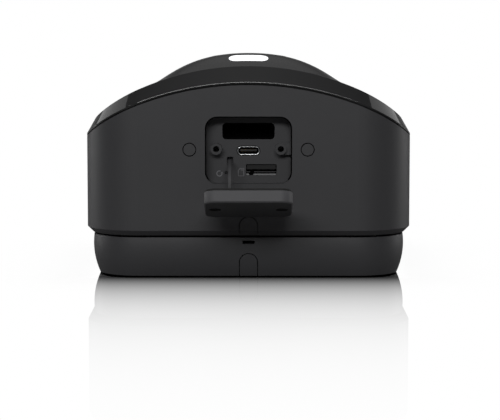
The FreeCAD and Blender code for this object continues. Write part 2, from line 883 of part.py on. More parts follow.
def make_knockouts(base_ring):
    """Thin panels that are broken out where a cable has to pass."""
    skin = block("knockout_skin", ("-knockout_width", "knockout_width"),
                 (FRONT, f"{FRONT} + knockout_depth - touch_gap"), ("body_bottom", "knockout_top"))
    outer = doc.getObject("housing_bevel")
    form = knockout_form("upper_panel", "outline_gap", "knockout_top", "body_bottom", "knockout_depth")
    sub_part("cable_knockout", overlap("cable_knockout_common", form, outer, skin))
    form = knockout_form("base_panel", "outline_gap", "base_knockout_top", "pad_thickness",
                         "base_foot_wall + 1", BASE_FRONT)
    sub_part("base_knockout", overlap("base_knockout_common", form, base_ring))


def make_plugs():
    """Flush round plugs and the screws behind them that hold the port bay."""
    plugs, screws = [], []
    for side, sign in SIGNS.items():
        centre = (f"{sign}plug_spacing / 2", "plug_level")
        plugs.append(rod(f"screw_plug_{side}", "y", centre, "plug_radius", FRONT,
                         f"{FRONT} + plug_thickness"))
        seat = f"({FRONT} + plug_pocket - touch_gap)"
        head = rod(f"bay_screw_head_{side}", "y", centre, "bay_screw_head_radius",
                   f"{seat} - bay_screw_head", seat)
        shank = rod(f"bay_screw_shank_{side}", "y", centre, "bay_screw_radius",
                    f"{seat} - 0.5", f"{seat} + bay_screw_length")
        drive = centred_drive(f"bay_screw_drive_{side}", centre, f"{seat} - bay_screw_head")
        screws.append(cut(f"bay_screw_{side}", join(f"bay_screw_blank_{side}", head, shank), drive))
    sub_part("screw_plugs", group("screw_plugs_group", *plugs))
    sub_part("bay_screws", group("bay_screws_group", *screws))


def centred_drive(name, centre, face):
    """A cross recess in a screw head that faces the port side."""
    across, level = centre
    arm = "bay_screw_head_radius * 0.6"
    slim = "bay_screw_head_radius * 0.16"
    flat = block(f"{name}_flat", (f"{across} - {arm}", f"{across} + {arm}"),
                 (f"{face} - 0.5", f"{face} + bay_screw_head / 2"), (f"{level} - {slim}",
                                                                     f"{level} + {slim}"))
    upright = block(f"{name}_upright", (f"{across} - {slim}", f"{across} + {slim}"),
                    (f"{face} - 0.5", f"{face} + bay_screw_head / 2"), (f"{level} - {arm}",
                                                                        f"{level} + {arm}"))
    return join(name, flat, upright)


def make_clamp_screws():
    """Long screws from the underside through posts and frame into the front cover."""
    screws = []
    seat = "(body_bottom + underside_rise + clamp_screw_head)"
    for side, sign in SIGNS.items():
        for end, away in ENDS.items():
            centre = (f"{sign}post_spacing_across / 2", f"{away}post_spacing_along / 2")
            head = rod(f"clamp_head_{side}_{end}", "z", centre, "clamp_screw_head_radius",
                       f"{seat} - clamp_screw_head", seat)
            shank = rod(f"clamp_shank_{side}_{end}", "z", centre, "clamp_screw_radius",
                        f"{seat} - 0.5", f"{FRAME_TOP} + clamp_screw_grip")
            screws.append(join(f"clamp_screw_{side}_{end}", head, shank))
    sub_part("housing_screws", group("housing_screws_group", *screws))


# Front cover


def make_front_cover():
    """The glossy cover with its ring, tongue, nose and all its openings and bosses."""
    outer = shaped("cover_outer", OUTER)
    hollow = shaped("cover_hollow", HOLLOW)
    below = shaped("cover_below", arch_below(size("seam_radius"), size("seam_apex") + size("seam_gap") / 2))
    ring = cut("cover_shell", outer, hollow, below)

    play = size("body_wall") + size("assembly_gap")
    thick = size("tongue_thickness")
    tongue = plan_prism(play, size("body_bottom"), ABOVE_ALL)
    tongue = tongue.cut(plan_prism(play + thick, size("body_bottom"), ABOVE_ALL))
    tongue = tongue.common(arch_below(size("seam_radius"), size("seam_apex") + size("seam_gap")))
    tongue = tongue.cut(arch_below(size("seam_radius"), size("seam_apex") - size("tongue_depth")))

    added = [shaped("cover_tongue", tongue)]
    tools = []
    trimmed = []
    for side, sign in SIGNS.items():
        for end, away in ENDS.items():
            centre = (f"{sign}post_spacing_across / 2", f"{away}post_spacing_along / 2")
            trimmed.append(
                rod(f"cover_post_{side}_{end}", "z", centre, "post_radius",
                    f"{FRAME_TOP} + touch_gap", "face_apex")
            )
            tools.append(
                rod(f"cover_bore_{side}_{end}", "z", centre, "clamp_screw_radius + screw_play",
                    f"{FRAME_TOP} - 1", f"{FRAME_TOP} + clamp_screw_grip + touch_gap")
            )
            x = float(f"{sign}{size('camera_boss_across') / 2}")
            y = float(f"{away}{size('camera_boss_along') / 2}")
            low = CAMERA_BOARD_TOP + size("touch_gap")
            trimmed.append(local_rod(f"camera_boss_{side}_{end}", size("small_boss_radius"), low, CLEAR_OF,
                                     LENS, x, y))
            reach = size("small_screw_length")
            tools.append(
                local_rod(f"camera_boss_bore_{side}_{end}", size("small_screw_radius") + size("screw_play"),
                          low - 1, low + reach, LENS, x, y)
            )
    trimmed.append(local_rod("lens_boss", size("lens_boss_radius"), -size("lens_boss_depth"), CLEAR_OF, LENS))
    tools.append(local_rod("lens_hole", size("lens_hole_radius"), -2 * size("lens_boss_depth"), CLEAR_OF,
                           LENS))
    tools.append(
        local_rod("bezel_seat", size("bezel_radius") + size("touch_gap"), -size("bezel_depth"), CLEAR_OF,
                  LENS)
    )
    for side, sign in SIGNS.items():
        x = float(f"{sign}{size('sensor_boss_offset')}")
        trimmed.append(
            local_rod(f"sensor_boss_{side}", size("small_boss_radius"),
                      SENSOR_BOARD_TOP + size("touch_gap"), CLEAR_OF, MOTION, x)
        )
    play = size("window_play")
    tools.append(local_rod("motion_hole", size("motion_radius") + play, -size("cover_wall") * 2, CLEAR_OF,
                           MOTION))
    tools.append(
        local_rod("light_sensor_hole", size("light_pipe_radius") + play, -size("cover_wall") * 2, CLEAR_OF,
                  MOTION, 0.0, size("light_sensor_offset"))
    )
    tools.append(
        local_rod("microphone_hole", size("mic_hole_radius"), -size("cover_wall") * 2, CLEAR_OF,
                  MOTION, size("light_sensor_offset"), size("light_sensor_offset") / 2)
    )
    status = size("status_length") + 2 * play, size("status_width") + 2 * play
    tools.append(
        local_prism("status_hole", *status, -size("cover_wall") * 2, CLEAR_OF,
                    size("status_width") / 2 * NEARLY_ROUND, STATUS)
    )
    lamp = size("lamp_window_width") + 2 * play, size("lamp_window_length") + 2 * play
    for side, frame in LAMPS.items():
        tools.append(
            local_prism(f"lamp_hole_{side}", *lamp, -size("cover_wall") * 2, CLEAR_OF,
                        size("lamp_window_width") / 2 * NEARLY_ROUND, frame)
        )
    inside = overlap("cover_bosses_trimmed", join("cover_bosses", *trimmed), outer)
    whole = join("cover_with_bosses", ring, inside, *added)
    sub_part("front_cover", cut("front_cover_cut", whole, *tools))
    return outer


def make_front_seal():
    """The seal that lies on the housing's rim in the seam."""
    low = size("seam_apex") - size("seam_gap") / 2
    high = size("seam_apex") + size("seam_gap") / 2
    ring = plan_prism(size("seal_setback"), size("body_bottom"), ABOVE_ALL)
    inner = plan_prism(size("seal_setback") + size("seal_width"), size("body_bottom"), ABOVE_ALL)
    ring = ring.cut(inner).common(arch_below(size("seam_radius"), high))
    sub_part("front_seal", shaped("front_seal_ring", ring.cut(arch_below(size("seam_radius"), low))))


# Lens and camera module, built downwards from the nose's crown

BARREL_TOP = -(size("bezel_depth") + size("dome_flange") + size("touch_gap"))
HOLDER_TOP = BARREL_TOP - size("barrel_length") + size("holder_depth") / 2
SENSOR_TOP = HOLDER_TOP - size("holder_depth")
CAMERA_BOARD_TOP = SENSOR_TOP - size("sensor_thickness")
SENSOR_BOARD_TOP = -size("sensor_board_depth")


def local(name, radius, low, high, x=0.0, y=0.0):
    """A plain cylinder about the local Z axis, before it is placed."""
    cylinder = doc.addObject("Part::Cylinder", name)
    cylinder.Radius = radius
    cylinder.Height = high - low
    cylinder.Placement.Base = Vector(x, y, low)
    return cylinder


def slab(name, width, length, low, high, x=0.0, y=0.0):
    """A plain box about the local Z axis, before it is placed."""
    box = doc.addObject("Part::Box", name)
    box.Length = width
    box.Width = length
    box.Height = high - low
    box.Placement.Base = Vector(x - width / 2, y - length / 2, low)
    return box


def cap(radius, rise, low):
    """A solid dome: a slice of a ball with a given rim radius and rise."""
    ball_radius = (radius**2 + rise**2) / (2 * rise)
    ball = Part.makeSphere(ball_radius, Vector(0, 0, low + rise - ball_radius))
    slice_box = Part.makeBox(4 * radius, 4 * radius, rise, Vector(-2 * radius, -2 * radius, low))
    return ball.common(slice_box)


def make_lens():
    """Bezel, dome, seal, barrel, glass, filter, sensor and board on the lens axis."""
    gap = size("touch_gap")
    seat = -size("bezel_depth")
    outer = local("bezel_outer", size("bezel_radius"), seat + gap, size("bezel_proud"))
    slope = size("bezel_proud") + size("bezel_depth") - size("dome_flange") - gap
    opening = doc.addObject("Part::Cone", "bezel_opening")
    opening.Radius1 = size("bezel_inner_radius")
    opening.Radius2 = size("bezel_inner_radius") + slope / 2
    opening.Height = slope
    opening.Placement.Base = Vector(0, 0, seat + size("dome_flange") + gap)
    throat = local("bezel_throat", size("bezel_inner_radius"), seat - 1, size("bezel_proud"))
    flange_room = local("bezel_flange_room",
                        size("dome_radius") + size("dome_flange_width") + size("dome_play") + gap, seat - 1,
                        seat + size("dome_flange") + gap)
    bezel = cut("lens_bezel_cut", outer, opening, throat, flange_room)
    sub_part("lens_bezel", bezel, LENS)

    dome_low = seat + size("dome_flange")
    dome = cap(size("dome_radius"), size("dome_rise"), dome_low)
    flange = Part.makeCylinder(size("dome_radius") + size("dome_flange_width"), size("dome_flange"),
                               Vector(0, 0, seat + gap))
    room = cap(size("dome_radius") - size("dome_wall"), size("dome_rise") - size("dome_wall") / 2, dome_low)
    well = Part.makeCylinder(size("dome_radius") - size("dome_wall"), size("dome_flange") + size("dome_play"),
                             Vector(0, 0, seat))
    glass = flange.fuse(dome).cut(room.fuse(well))
    sub_part("lens_dome", shaped("lens_dome_glass", glass), LENS)

    seal_low = seat - size("dome_flange")
    barrel = local("barrel_tube", size("barrel_outer"), BARREL_TOP - size("barrel_length"), BARREL_TOP)
    collar = local("barrel_collar", size("lens_hole_radius") - gap, seal_low - size("barrel_collar"),
                   BARREL_TOP)
    front_seat = local("barrel_front_seat", size("front_element_radius") + gap,
                       BARREL_TOP - size("barrel_seat_depth"),
                       BARREL_TOP)
    bore = local("barrel_bore", size("rear_element_radius") + gap, BARREL_TOP - size("barrel_length"),
                 BARREL_TOP)
    sub_part("lens_barrel", cut("lens_barrel_cut", join("barrel_blank", barrel, collar), front_seat, bore),
             LENS)

    front_low = BARREL_TOP - size("barrel_seat_depth") + gap
    edge = size("front_element_edge")
    front = Part.makeCylinder(size("front_element_radius"), edge, Vector(0, 0, front_low))
    front = front.fuse(cap(size("front_element_radius"), size("front_element_rise"), front_low + edge))
    sub_part("front_lens_element", shaped("front_lens_glass", front), LENS)
    rears = []
    edge = size("rear_element_edge")
    for place in ("first", "second"):
        low = BARREL_TOP - size(f"{place}_rear_element")
        disc = Part.makeCylinder(size("rear_element_radius"), edge, Vector(0, 0, low))
        disc = disc.fuse(cap(size("rear_element_radius"), size("rear_element_rise"), low + edge))
        rears.append(shaped(f"{place}_rear_lens_glass", disc))
    sub_part("rear_lens_elements", group("rear_lens_group", *rears), LENS)

    block_low = HOLDER_TOP - size("holder_depth")
    holder = slab("holder_block", size("holder_width"), size("holder_width"), block_low, HOLDER_TOP)
    socket = local("holder_socket", size("barrel_outer") + gap, HOLDER_TOP - size("holder_depth") / 2,
                   HOLDER_TOP)
    light_way = slab("holder_light_way", size("sensor_width") + 2 * gap, size("sensor_length") + 2 * gap,
                     block_low, HOLDER_TOP)
    filter_room = size("filter_width") + size("filter_play")
    filter_seat = slab("holder_filter_seat", filter_room, filter_room, block_low + size("filter_level"),
                       block_low + size("filter_level") + size("filter_thickness") + 2 * gap)
    sub_part("lens_holder", cut("lens_holder_cut", holder, socket, light_way, filter_seat), LENS)
    filter_low = block_low + size("filter_level") + gap
    glass = slab("filter_glass", size("filter_width"), size("filter_width"), filter_low,
                 filter_low + size("filter_thickness"))
    sub_part("infrared_filter", glass, LENS)

    sensor_low = block_low - size("sensor_thickness")
    sensor = slab("sensor_chip", size("sensor_width"), size("sensor_length"), sensor_low, block_low - gap)
    sub_part("image_sensor", sensor, LENS)
    low = sensor_low - size("camera_board_thickness")
    board = slab("camera_board_blank", size("camera_board_width"), size("camera_board_length"), low,
                 sensor_low - gap)
    holes, screws = [], []
    for side, sign in SIGNS.items():
        for end, away in ENDS.items():
            x = float(f"{sign}{size('camera_boss_across') / 2}")
            y = float(f"{away}{size('camera_boss_along') / 2}")
            holes.append(local(f"camera_hole_{side}_{end}", size("small_screw_radius") + size("screw_play"),
                               low - 1, sensor_low + 1, x, y))
            head = local(f"camera_screw_head_{side}_{end}", size("small_screw_head_radius"),
                         low - gap - size("small_screw_head"), low - gap, x, y)
            shank = local(f"camera_screw_shank_{side}_{end}", size("small_screw_radius"),
                          low - gap - 0.2, low + size("small_screw_length"), x, y)
            screws.append(join(f"camera_screw_{side}_{end}", head, shank))
    sub_part("camera_board", cut("camera_board_cut", board, *holes), LENS)
    sub_part("camera_screws", group("camera_screws_group", *screws), LENS)


def make_windows(outer):
    """Windows that lie flush in the front cover, trimmed by its outer form."""
    sink = size("window_thickness")
    under_face = shaped("window_under_face", arch_below(size("face_radius"), size("face_apex") - sink))
    windows = []
    for side, frame in LAMPS.items():
        form = local_prism(f"lamp_window_form_{side}", size("lamp_window_width"), size("lamp_window_length"),
                           -2 * sink, CLEAR_OF, size("lamp_window_width") / 2 * NEARLY_ROUND, frame)
        windows.append(cut(f"lamp_window_{side}", overlap(f"lamp_window_full_{side}", form, outer),
                           under_face))
    sub_part("infrared_windows", group("infrared_windows_group", *windows))
    form = local_prism("status_form", size("status_length"), size("status_width"),
                       -size("status_depth"), CLEAR_OF, size("status_width") / 2 * NEARLY_ROUND, STATUS)
    sub_part("status_light_window", overlap("status_window_common", form, outer))


def make_status_board():
    """The small board and the light source under the status window."""
    gap = size("touch_gap")
    led_top = -size("status_depth") - gap
    board_top = led_top - size("status_led_height")
    board = slab("status_board_blank", size("status_length") + 2.0, size("status_width") + 1.0,
                 board_top - size("status_board_thickness"), board_top)
    leds = [
        slab(f"status_led_{number}", size("status_led_width"), size("status_led_width"), board_top, led_top,
             number * size("status_length") / 3)
        for number in (-1, 0, 1)
    ]
    sub_part("status_light_board", join("status_light_board_join", board, *leds), STATUS)


def make_lamps():
    """Infrared boards, diodes and shrouds under the two side windows."""
    boards, diodes, shrouds = [], [], []
    gap = size("touch_gap")
    wall = size("lamp_shroud_wall")
    width = size("lamp_window_width")
    length = size("lamp_window_length")
    top = -size("cover_wall") - size("moving_gap")
    low = top - size("lamp_shroud_depth")
    for side, frame in LAMPS.items():
        outer = slab(f"shroud_outer_{side}", width + 2 * wall, length + 2 * wall, low, top)
        inner = slab(f"shroud_inner_{side}", width, length, low - 1, top + 1)
        shrouds.append(placed(cut(f"shroud_{side}", outer, inner), frame))
        board_low = low - gap - size("lamp_board_thickness")
        board = slab(f"lamp_board_{side}", width + 4 * wall, length + 4 * wall, board_low, low - gap)
        boards.append(placed(board, frame))
        for number in (-1, 0, 1):
            diode = slab(f"lamp_led_{side}_{number}", size("lamp_led_width"), size("lamp_led_width"),
                         low, low + size("lamp_led_height"), 0.0, number * size("lamp_led_pitch"))
            diodes.append(placed(diode, frame))
    sub_part("infrared_shrouds", group("infrared_shrouds_group", *shrouds))
    sub_part("infrared_boards", group("infrared_boards_group", *boards))
    sub_part("infrared_leds", group("infrared_leds_group", *diodes))


def make_motion_sensor():
    """Fresnel dome, sensor can, small board, light sensor and microphone."""
    gap = size("touch_gap")
    top = SENSOR_BOARD_TOP
    radius = size("motion_radius")
    rim = Part.makeCylinder(radius, size("cover_wall"), Vector(0, 0, -size("cover_wall")))
    dome = rim.fuse(cap(radius, size("motion_rise"), 0.0))
    within = radius - size("motion_wall")
    room = cap(within, size("motion_rise") - size("motion_wall") / 2, 0.0)
    room = room.fuse(Part.makeCylinder(within, size("cover_wall"), Vector(0, 0, -size("cover_wall"))))
    sub_part("motion_lens", shaped("motion_lens_shell", dome.cut(room)), MOTION)
    can = local("motion_can", size("motion_can_radius"), top + gap, top + size("motion_can_height"))
    rim_disc = local("motion_can_rim", size("motion_can_radius") + size("motion_can_rim"), top + gap,
                     top + gap + size("motion_can_rim"))
    sub_part("motion_sensor", join("motion_sensor_join", can, rim_disc), MOTION)
    board = slab("sensor_board_blank", size("sensor_board_width"), size("sensor_board_length") * 2,
                 top - size("sensor_board_thickness"), top)
    sub_part("sensor_board", board, MOTION)
    offset = size("light_sensor_offset")
    chip = slab("light_sensor_chip", size("light_sensor_width"), size("light_sensor_width"), top + gap,
                top + gap + size("light_sensor_height"), 0.0, offset)
    sub_part("light_sensor", chip, MOTION)
    pipe = local("light_pipe_rod", size("light_pipe_radius"), top + 2 * gap + size("light_sensor_height"),
                 -0.35, 0.0, offset)
    sub_part("light_sensor_pipe", pipe, MOTION)
    mic = slab("microphone_can", size("microphone_width"), size("microphone_width"), top + gap,
               top + gap + size("microphone_height"), offset, offset / 2)
    sub_part("microphone", mic, MOTION)


# Inner frame, electronics and battery


def make_inner_frame():
    """The plate that the posts carry and the boards stand on."""
    body = doc.addObject("PartDesign::Body", "frame_body")
    centre = "(frame_far - frame_near) / 2"
    plan = sketch_on(body, "frame_plan", "XY_Plane", ("0", centre, "frame_level"))
    length = size("frame_near") + size("frame_far")
    rounded_outline(plan, size("body_width") - 2 * size("frame_side_gap"), length, size("board_corner"),
                    (FRAME_WIDTH, "frame_near + frame_far", "board_corner"))
    pad(body, plan, "frame_thickness")
    doc.recompute()
    centres, formulas = frame_standoffs()
    posts = sketch_on(body, "frame_standoffs", "XY_Plane", ("0", "0", f"{FRAME_TOP} - 0.5"))
    circle_outlines(posts, size("standoff_radius"), centres, "standoff_radius", formulas)
    pad(body, posts, "standoff_height + 0.5")
    doc.recompute()
    bores = sketch_on(body, "frame_standoff_bores", "XY_Plane", ("0", "0", f"{BOARD_BOTTOM} + 1"))
    play = size("small_screw_radius") + size("screw_play")
    circle_outlines(bores, play, centres, "small_screw_radius + screw_play", formulas)
    pocket(body, bores, "standoff_height + frame_thickness + 2")
    slots = sketch_on(body, "frame_window", "XY_Plane", ("0", "board_centre", f"{FRAME_TOP} + 1"))
    rounded_outline(slots, size("frame_window_width"), size("frame_window_length"), size("board_corner"),
                    ("frame_window_width", "frame_window_length", "board_corner"))
    pocket(body, slots, "frame_thickness + 2")
    ears, holes = [], []
    for side, sign in SIGNS.items():
        inner = f"{sign}({FRAME_WIDTH} / 2 - frame_ear_width)"
        outer = f"{sign}{FRAME_WIDTH} / 2"
        low, high = (outer, inner) if sign else (inner, outer)
        ears.append(block(f"frame_ear_{side}", (low, high),
                          ("-frame_near - frame_ear_reach", "-frame_near + 2"),
                          ("frame_level", FRAME_TOP), "z", size("board_corner")))
        for end, away in ENDS.items():
            centre = (f"{sign}post_spacing_across / 2", f"{away}post_spacing_along / 2")
            holes.append(rod(f"frame_hole_{side}_{end}", "z", centre, "clamp_screw_radius + screw_play",
                             "frame_level - 1", f"{FRAME_TOP} + 1"))
    whole = join("frame_with_ears", body, *ears)
    under = centred("frame_under", f"{FRAME_WIDTH} + 10",
                    ("-frame_near - frame_ear_reach - 5", "frame_far + 5"),
                    ("frame_level - 1", "frame_level + touch_gap"))
    sub_part("inner_frame", cut("inner_frame_cut", whole, under, *holes))


def frame_standoffs():
    """Places of the main board's four standoffs."""
    wide = size("board_width") / 2 - size("standoff_inset")
    deep = size("board_length") / 2 - size("standoff_inset")
    numbers, formulas = [], []
    for side in (-1, 1):
        for end in (-1, 1):
            numbers.append((side * wide, end * deep + size("board_centre")))
            formulas.append((
                f"{side} * (board_width / 2 - standoff_inset)",
                f"{end} * (board_length / 2 - standoff_inset) + board_centre",
            ))
    return numbers, formulas


def make_main_board():
    """The main circuit board, its screws and the parts that cool the processor."""
    body = doc.addObject("PartDesign::Body", "main_board_body")
    plan = sketch_on(body, "board_plan", "XY_Plane", ("0", "board_centre", f"{BOARD_BOTTOM} + touch_gap"))
    outline = ("board_width", "board_length", "board_corner")
    rounded_outline(plan, *map(size, outline), outline)
    pad(body, plan, "board_thickness - touch_gap")
    doc.recompute()
    centres, formulas = frame_standoffs()
    holes = sketch_on(body, "board_holes", "XY_Plane", ("0", "0", f"{BOARD_BOTTOM} + board_thickness + 1"))
    play = size("small_screw_radius") + size("screw_play")
    circle_outlines(holes, play, centres, "small_screw_radius + screw_play", formulas)
    pocket(body, holes, "board_thickness + 2")
    sub_part("main_board", body)

    top = f"({BOARD_BOTTOM} + board_thickness)"
    screws = []
    for number, centre in enumerate(formulas, 1):
        head = rod(f"board_screw_head_{number}", "z", centre, "small_screw_head_radius",
                   f"{top} + touch_gap", f"{top} + touch_gap + small_screw_head")
        shank = rod(f"board_screw_shank_{number}", "z", centre, "small_screw_radius",
                    f"{top} - small_screw_length", f"{top} + touch_gap + 0.2")
        screws.append(join(f"board_screw_{number}", head, shank))
    sub_part("board_screws", group("board_screws_group", *screws))

    left = "(-shield_offset - shield_width / 2)"
    right = "(-shield_offset + shield_width / 2)"
    near = "(board_centre - shield_length / 2)"
    far = "(board_centre + shield_length / 2)"
    shield = block("shield_can", (left, right), (near, far), (f"{top} + touch_gap", f"{top} + shield_height"))
    sub_part("processor_shield", shield)
    pad_top = f"({top} + shield_height + touch_gap + thermal_pad_thickness)"
    soft = block("thermal_pad_block", (f"{left} + 2", f"{right} - 2"), (f"{near} + 2", f"{far} - 2"),
                 (f"{top} + shield_height + touch_gap", pad_top))
    sub_part("thermal_pad", soft)
    plate = block("spreader_plate", (f"{left} - 4", f"{right} + 4"), (f"{near} - 2", f"{far} + 2"),
                  (f"{pad_top} + touch_gap", f"{pad_top} + touch_gap + spreader_thickness"), "z", 2.0)
    legs = [
        block(f"spreader_leg_{number}", (x, f"{x} + 2"), (f"{near} - 2", f"{far} + 2"),
              (f"{top} + touch_gap", f"{pad_top} + touch_gap + spreader_thickness / 2"))
        for number, x in enumerate((f"{left} - 4", f"{right} + 2"), 1)
    ]
    sub_part("heat_spreader", join("heat_spreader_join", plate, *legs))


def make_battery():
    """Two cells in a cradle on the housing's floor, held down through a foam pad."""
    gap = "touch_gap"
    low = f"({FLOOR_TOP} + {gap})"
    middle = f"({low} + holder_wall + cell_radius)"
    near = "(cell_centre - cell_spacing / 2)"
    far = "(cell_centre + cell_spacing / 2)"
    reach = "(cell_radius + holder_wall)"
    cradle = centred("cradle_block", "cell_length + 2 * holder_wall + 2",
                     (f"{near} - {reach}", f"{far} + {reach}"),
                     (low, f"{low} + holder_wall + battery_cradle_rise"))
    troughs, cells = [], []
    for end, place in (("near", near), ("far", far)):
        troughs.append(rod(f"cell_trough_{end}", "x", (place, middle), f"cell_radius + {gap}",
                           "-cell_length / 2 - 1", "cell_length / 2 + 1"))
        can = rod(f"cell_can_{end}", "x", (place, middle), "cell_radius", "-cell_length / 2",
                  "cell_length / 2 - 1.2")
        tip = rod(f"cell_tip_{end}", "x", (place, middle), "cell_radius * 0.35",
                  "cell_length / 2 - 2", "cell_length / 2")
        cells.append(join(f"cell_{end}", can, tip))
    sub_part("battery_holder", cut("battery_holder_cut", cradle, *troughs))
    sub_part("battery_cells", group("battery_cells_group", *cells))
    foam = centred("battery_foam_block", "cell_length * 0.7", (f"{near} - 4", f"{far} + 4"),
                   (f"{middle} + cell_radius + {gap}", "frame_level"))
    sub_part("battery_foam", foam)


def make_sound():
    """Speaker, its cone and the water-tight mesh behind the sound slots."""
    inner = f"({BACK} - body_wall)"
    centre = ("0", "speaker_level")
    mesh_front = f"({inner} - touch_gap - mesh_thickness)"
    sub_part("speaker_mesh", rod("mesh_disc", "y", centre, "speaker_radius", mesh_front,
                                 f"{inner} - touch_gap"))
    flange = rod("speaker_flange_ring", "y", centre, "speaker_radius",
                 f"{mesh_front} - speaker_flange", f"{mesh_front} - touch_gap")
    basket = rod("speaker_basket", "y", centre, "speaker_radius * 0.7",
                 f"{mesh_front} - speaker_depth", f"{mesh_front} - speaker_flange")
    well = rod("speaker_well", "y", centre, "cone_radius + touch_gap",
               f"{mesh_front} - speaker_flange + 0.4", f"{mesh_front}")
    sub_part("speaker", cut("speaker_cut", join("speaker_blank", flange, basket), well))
    disc = rod("cone_disc", "y", centre, "cone_radius",
               f"{mesh_front} - speaker_flange + 0.5", f"{mesh_front} - 0.6")
    dish = cone("cone_dish", "y", centre, "cone_radius * 0.4", "cone_radius * 0.9",
                f"{mesh_front} - speaker_flange + 0.7", f"{mesh_front}")
    sub_part("speaker_cone", cut("speaker_cone_cut", disc, dish))
    strips = []
    for side, sign in SIGNS.items():
        wall = "(body_width / 2 - body_wall - touch_gap)"
        outer, inner_side = f"{sign}{wall}", f"{sign}({wall} - antenna_thickness)"
        low, high = (outer, inner_side) if sign else (inner_side, outer)
        strips.append(block(f"antenna_{side}", (low, high), ("-antenna_length / 2", "antenna_length / 2"),
                            (ANTENNA_LEVEL, f"{ANTENNA_LEVEL} + antenna_height")))
    sub_part("antennas", group("antennas_group", *strips))


# Port bay and what lies in it


def make_port_bay():
    """The recessed tray behind the near wall's opening."""
    behind = f"({FRONT} + body_wall)"
    level = "bay_bottom"
    top = "(bay_bottom + bay_height)"
    outer = centred("bay_outer", "bay_width + 2 * bay_side", (behind, BAY_REAR),
                    (f"{level} - bay_side", f"{top} + bay_side"), "y", size("bay_corner") + size("bay_side"))
    inner = centred("bay_inner", "bay_width", (f"{behind} - 1", BAY_FLOOR), (level, top), "y",
                    size("bay_corner"))
    flange = centred("bay_flange_plate", "bay_width + 2 * bay_side",
                     (behind, f"{behind} + bay_flange_thickness"),
                     (f"{level} - bay_flange", f"{top} + bay_flange"), "y", size("bay_corner"))
    ear_start = f"({behind} + plug_boss + touch_gap)"
    ear_bar = centred("bay_ear_bar", "plug_spacing", (ear_start, f"{ear_start} + ear_plate"),
                      ("plug_level - ear_height / 2", "plug_level + ear_height / 2"))
    pieces = [outer, flange, ear_bar]
    tools = [inner]
    for side, sign in SIGNS.items():
        centre = (f"{sign}plug_spacing / 2", "plug_level")
        pieces.append(rod(f"bay_ear_{side}", "y", centre, "ear_radius", ear_start,
                          f"{ear_start} + ear_length"))
        tools.append(rod(f"bay_ear_bore_{side}", "y", centre, "bay_screw_radius + screw_play",
                         f"{ear_start} - 1", f"{ear_start} + ear_length - 0.6"))
    pocket_rear = f"({BAY_FLOOR} + pocket_depth)"
    low = "(pocket_level - pocket_height / 2)"
    high = "(pocket_level + pocket_height / 2)"
    pieces.append(centred("pocket_box", "pocket_width + 2 * pocket_wall",
                          (BAY_FLOOR, f"{pocket_rear} + pocket_wall"),
                          (f"{low} - pocket_wall",
                           f"{high} + pocket_wall"), "y", size("pocket_corner") * 1.8))
    body = cut("bay_tray", join("bay_tray_blank", *pieces), *tools)

    added = []
    holes = [
        centred("pocket_room", "pocket_width", (f"{BAY_FLOOR} - 1", pocket_rear), (low, high), "y",
                size("pocket_corner")),
        centred("usb_way", "usb_width + 2 * usb_opening_play", (f"{BAY_FLOOR} - 1", f"{BAY_REAR} + 1"),
                ("usb_level - usb_height / 2 - usb_opening_play",
                 "usb_level + usb_height / 2 + usb_opening_play"),
                "y", size("usb_height") / 2 + size("usb_opening_play") * 0.9),
        block("strap_way", ("-strap_slot_offset - strap_slot_width / 2",
                            "-strap_slot_offset + strap_slot_width / 2"),
              (f"{BAY_FLOOR} - 1", f"{BAY_REAR} + 1"),
              ("strap_slot_level - strap_slot_height / 2", "strap_slot_level + strap_slot_height / 2"),
              "y", 0.6),
        rod("pinhole", "y", ("-pinhole_offset", "pinhole_level"), "pinhole_radius",
            f"{BAY_FLOOR} - 1", f"{BAY_REAR} + 1"),
        block("card_way", ("card_slot_centre - card_slot_width / 2",
                           "card_slot_centre + card_slot_width / 2"),
              (f"{BAY_FLOOR} - 1", f"{BAY_REAR} + 1"),
              ("card_slot_level - card_slot_height / 2", "card_slot_level + card_slot_height / 2"), "y", 0.5),
        block("card_notch", ("card_notch_centre - card_notch_width / 2",
                             "card_notch_centre + card_notch_width / 2"),
              (f"{BAY_FLOOR} - 1", f"{BAY_REAR} + 1"),
              ("card_slot_level - card_slot_height / 2 - card_lip", "card_slot_level"), "y", 0.3),
        card_lip_bevel(),
    ]
    for side, sign in SIGNS.items():
        centre = (f"{sign}boss_spacing / 2", "boss_level")
        added.append(rod(f"cover_boss_{side}", "y", centre, "boss_radius",
                         f"{BAY_FLOOR} - boss_height", f"{BAY_REAR} + boss_tail"))
        holes.append(rod(f"cover_boss_bore_{side}", "y", centre, "boss_bore_radius",
                         f"{BAY_FLOOR} - boss_height - 1", f"{BAY_FLOOR} - boss_height + boss_bore_depth"))
        inner_edge = f"{sign}(port_board_width / 2 - shelf_width)"
        outer_edge = f"{sign}(port_board_width / 2 + 0.4)"
        first, last = (outer_edge, inner_edge) if sign else (inner_edge, outer_edge)
        added.append(block(f"board_shelf_{side}", (first, last),
                           (f"{BAY_REAR} - 0.5", f"{BAY_REAR} + port_board_length"),
                           ("port_board_level - touch_gap - shelf_thickness",
                            "port_board_level - touch_gap")))
    added.append(block("boss_land", ("boss_spacing / 2", "bay_width / 2 + bay_side / 2"),
                       (f"{BAY_FLOOR} - land_rise", BAY_FLOOR),
                       ("boss_level - land_height / 2", "boss_level + land_height / 2")))
    whole = join("bay_whole", body, *added)
    sub_part("port_bay", cut("port_bay_cut", whole, *holes))


